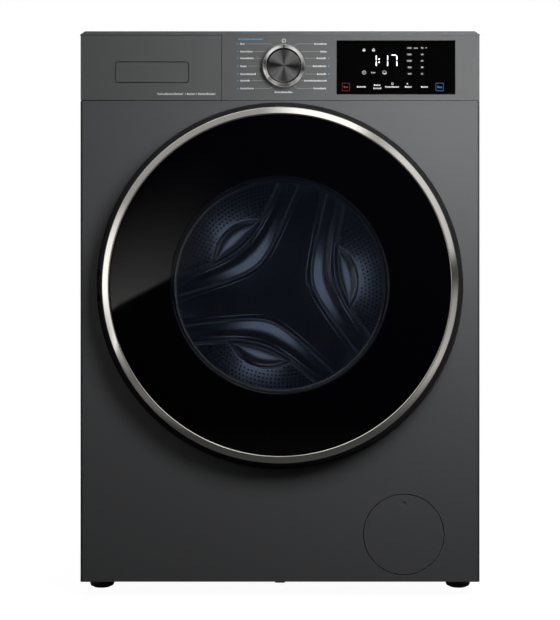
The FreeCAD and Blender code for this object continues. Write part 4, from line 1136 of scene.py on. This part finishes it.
def side_card(sky, x, z, ahead):
    """A soft grey card to the left of the view axis, with a sloping lower edge."""
    forward = sky.math("MAXIMUM", ahead, 0.2)
    across = sky.math("DIVIDE", x, forward)
    up = sky.math("DIVIDE", z, forward)
    edge = sky.math("MULTIPLY", sky.math("ADD", across, CARD_FOOT), CARD_SLOPE)
    over = sky.math("SUBTRACT", up, edge)
    level = sky.step(over, 0.0, 0.006)
    left = sky.math("SUBTRACT", 1.0, sky.math("DIVIDE", over, CARD_HEIGHT))
    fade = sky.math("POWER", sky.math("MAXIMUM", left, 0.0), 2.2)
    level = sky.math("MULTIPLY", level, fade)
    level = sky.math("MULTIPLY", level, sky.step(across, -0.04, -0.26))
    return sky.math("MULTIPLY", level, sky.step(ahead, 0.5, 0.8))


def lamp(name, spot, target, size, power, color=(1, 1, 1), mirrored=True):
    """A soft rectangular light that isn't itself seen."""
    data = bpy.data.lights.new(name, "AREA")
    data.shape = "RECTANGLE"
    data.size, data.size_y = size
    data.energy = power
    data.color = color
    obj = placed(name, data)
    obj.location = spot
    obj.rotation_euler = (Vector(target) - Vector(spot)).to_track_quat("-Z", "Y").to_euler()
    obj.visible_camera = False
    obj.visible_glossy = mirrored


def lights():
    """Soft key, fill, top and back lights, and a small cool lamp in the drum at each lobe."""
    lamp("key", (0.35, FRONT - 0.6, 0.85), (0.35, FRONT, 0.85), (0.5, 0.5), 10.5, mirrored=False)
    lamp("fill", (-1.1, FRONT - 0.7, 1.0), (-0.2, FRONT, 0.7), (0.8, 0.8), 3.6, mirrored=False)
    lamp("top", (0, 0.4, 2.6), (0, 0.1, 0.8), (2.0, 2.0), 22)
    lamp("behind", (0.6, 2.6, 1.6), (0, 0.2, 0.4), (1.8, 1.8), 26)
    cool = (0.74, 0.84, 1.0)
    low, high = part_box("drum_shell")
    reach = 0.14
    for number, turn in enumerate(ARM_LOBES):
        across = reach * math.cos(turn)
        rise = reach * math.sin(turn)
        spot = (across, low.y + 0.03, DRUM.z + rise)
        target = (across * 0.7, high.y, DRUM.z + rise * 0.7)
        lamp(f"drum_lamp_{number}", spot, target, (0.07, 0.07), 0.009, cool)


CAMERA_DISTANCE = 1.8
CAMERA_HEIGHT = 0.4287
LENS = 70.03


def camera():
    """Level camera straight in front."""
    data = bpy.data.cameras.new("camera")
    data.lens = LENS
    obj = placed("camera", data)
    obj.location = (0, FRONT - CAMERA_DISTANCE, CAMERA_HEIGHT)
    obj.rotation_euler = (math.radians(90), 0, 0)
    bpy.context.scene.camera = obj


# ---------------------------------------------------------------- build

bpy.context.scene.view_settings.view_transform = "Standard"
finish_nodes()
printed_glass()
trim_ring()
bowl()
drum_back()
drum_wrap()
gasket()
corrugated("dispenser_hose", "black_rubber", tub_on_top=False)
corrugated("sump_hose", "black_rubber", tub_on_top=True)
springs()
knob()
programme_list()
drawer_print()
display()
stage()
surround()
lights()
camera()
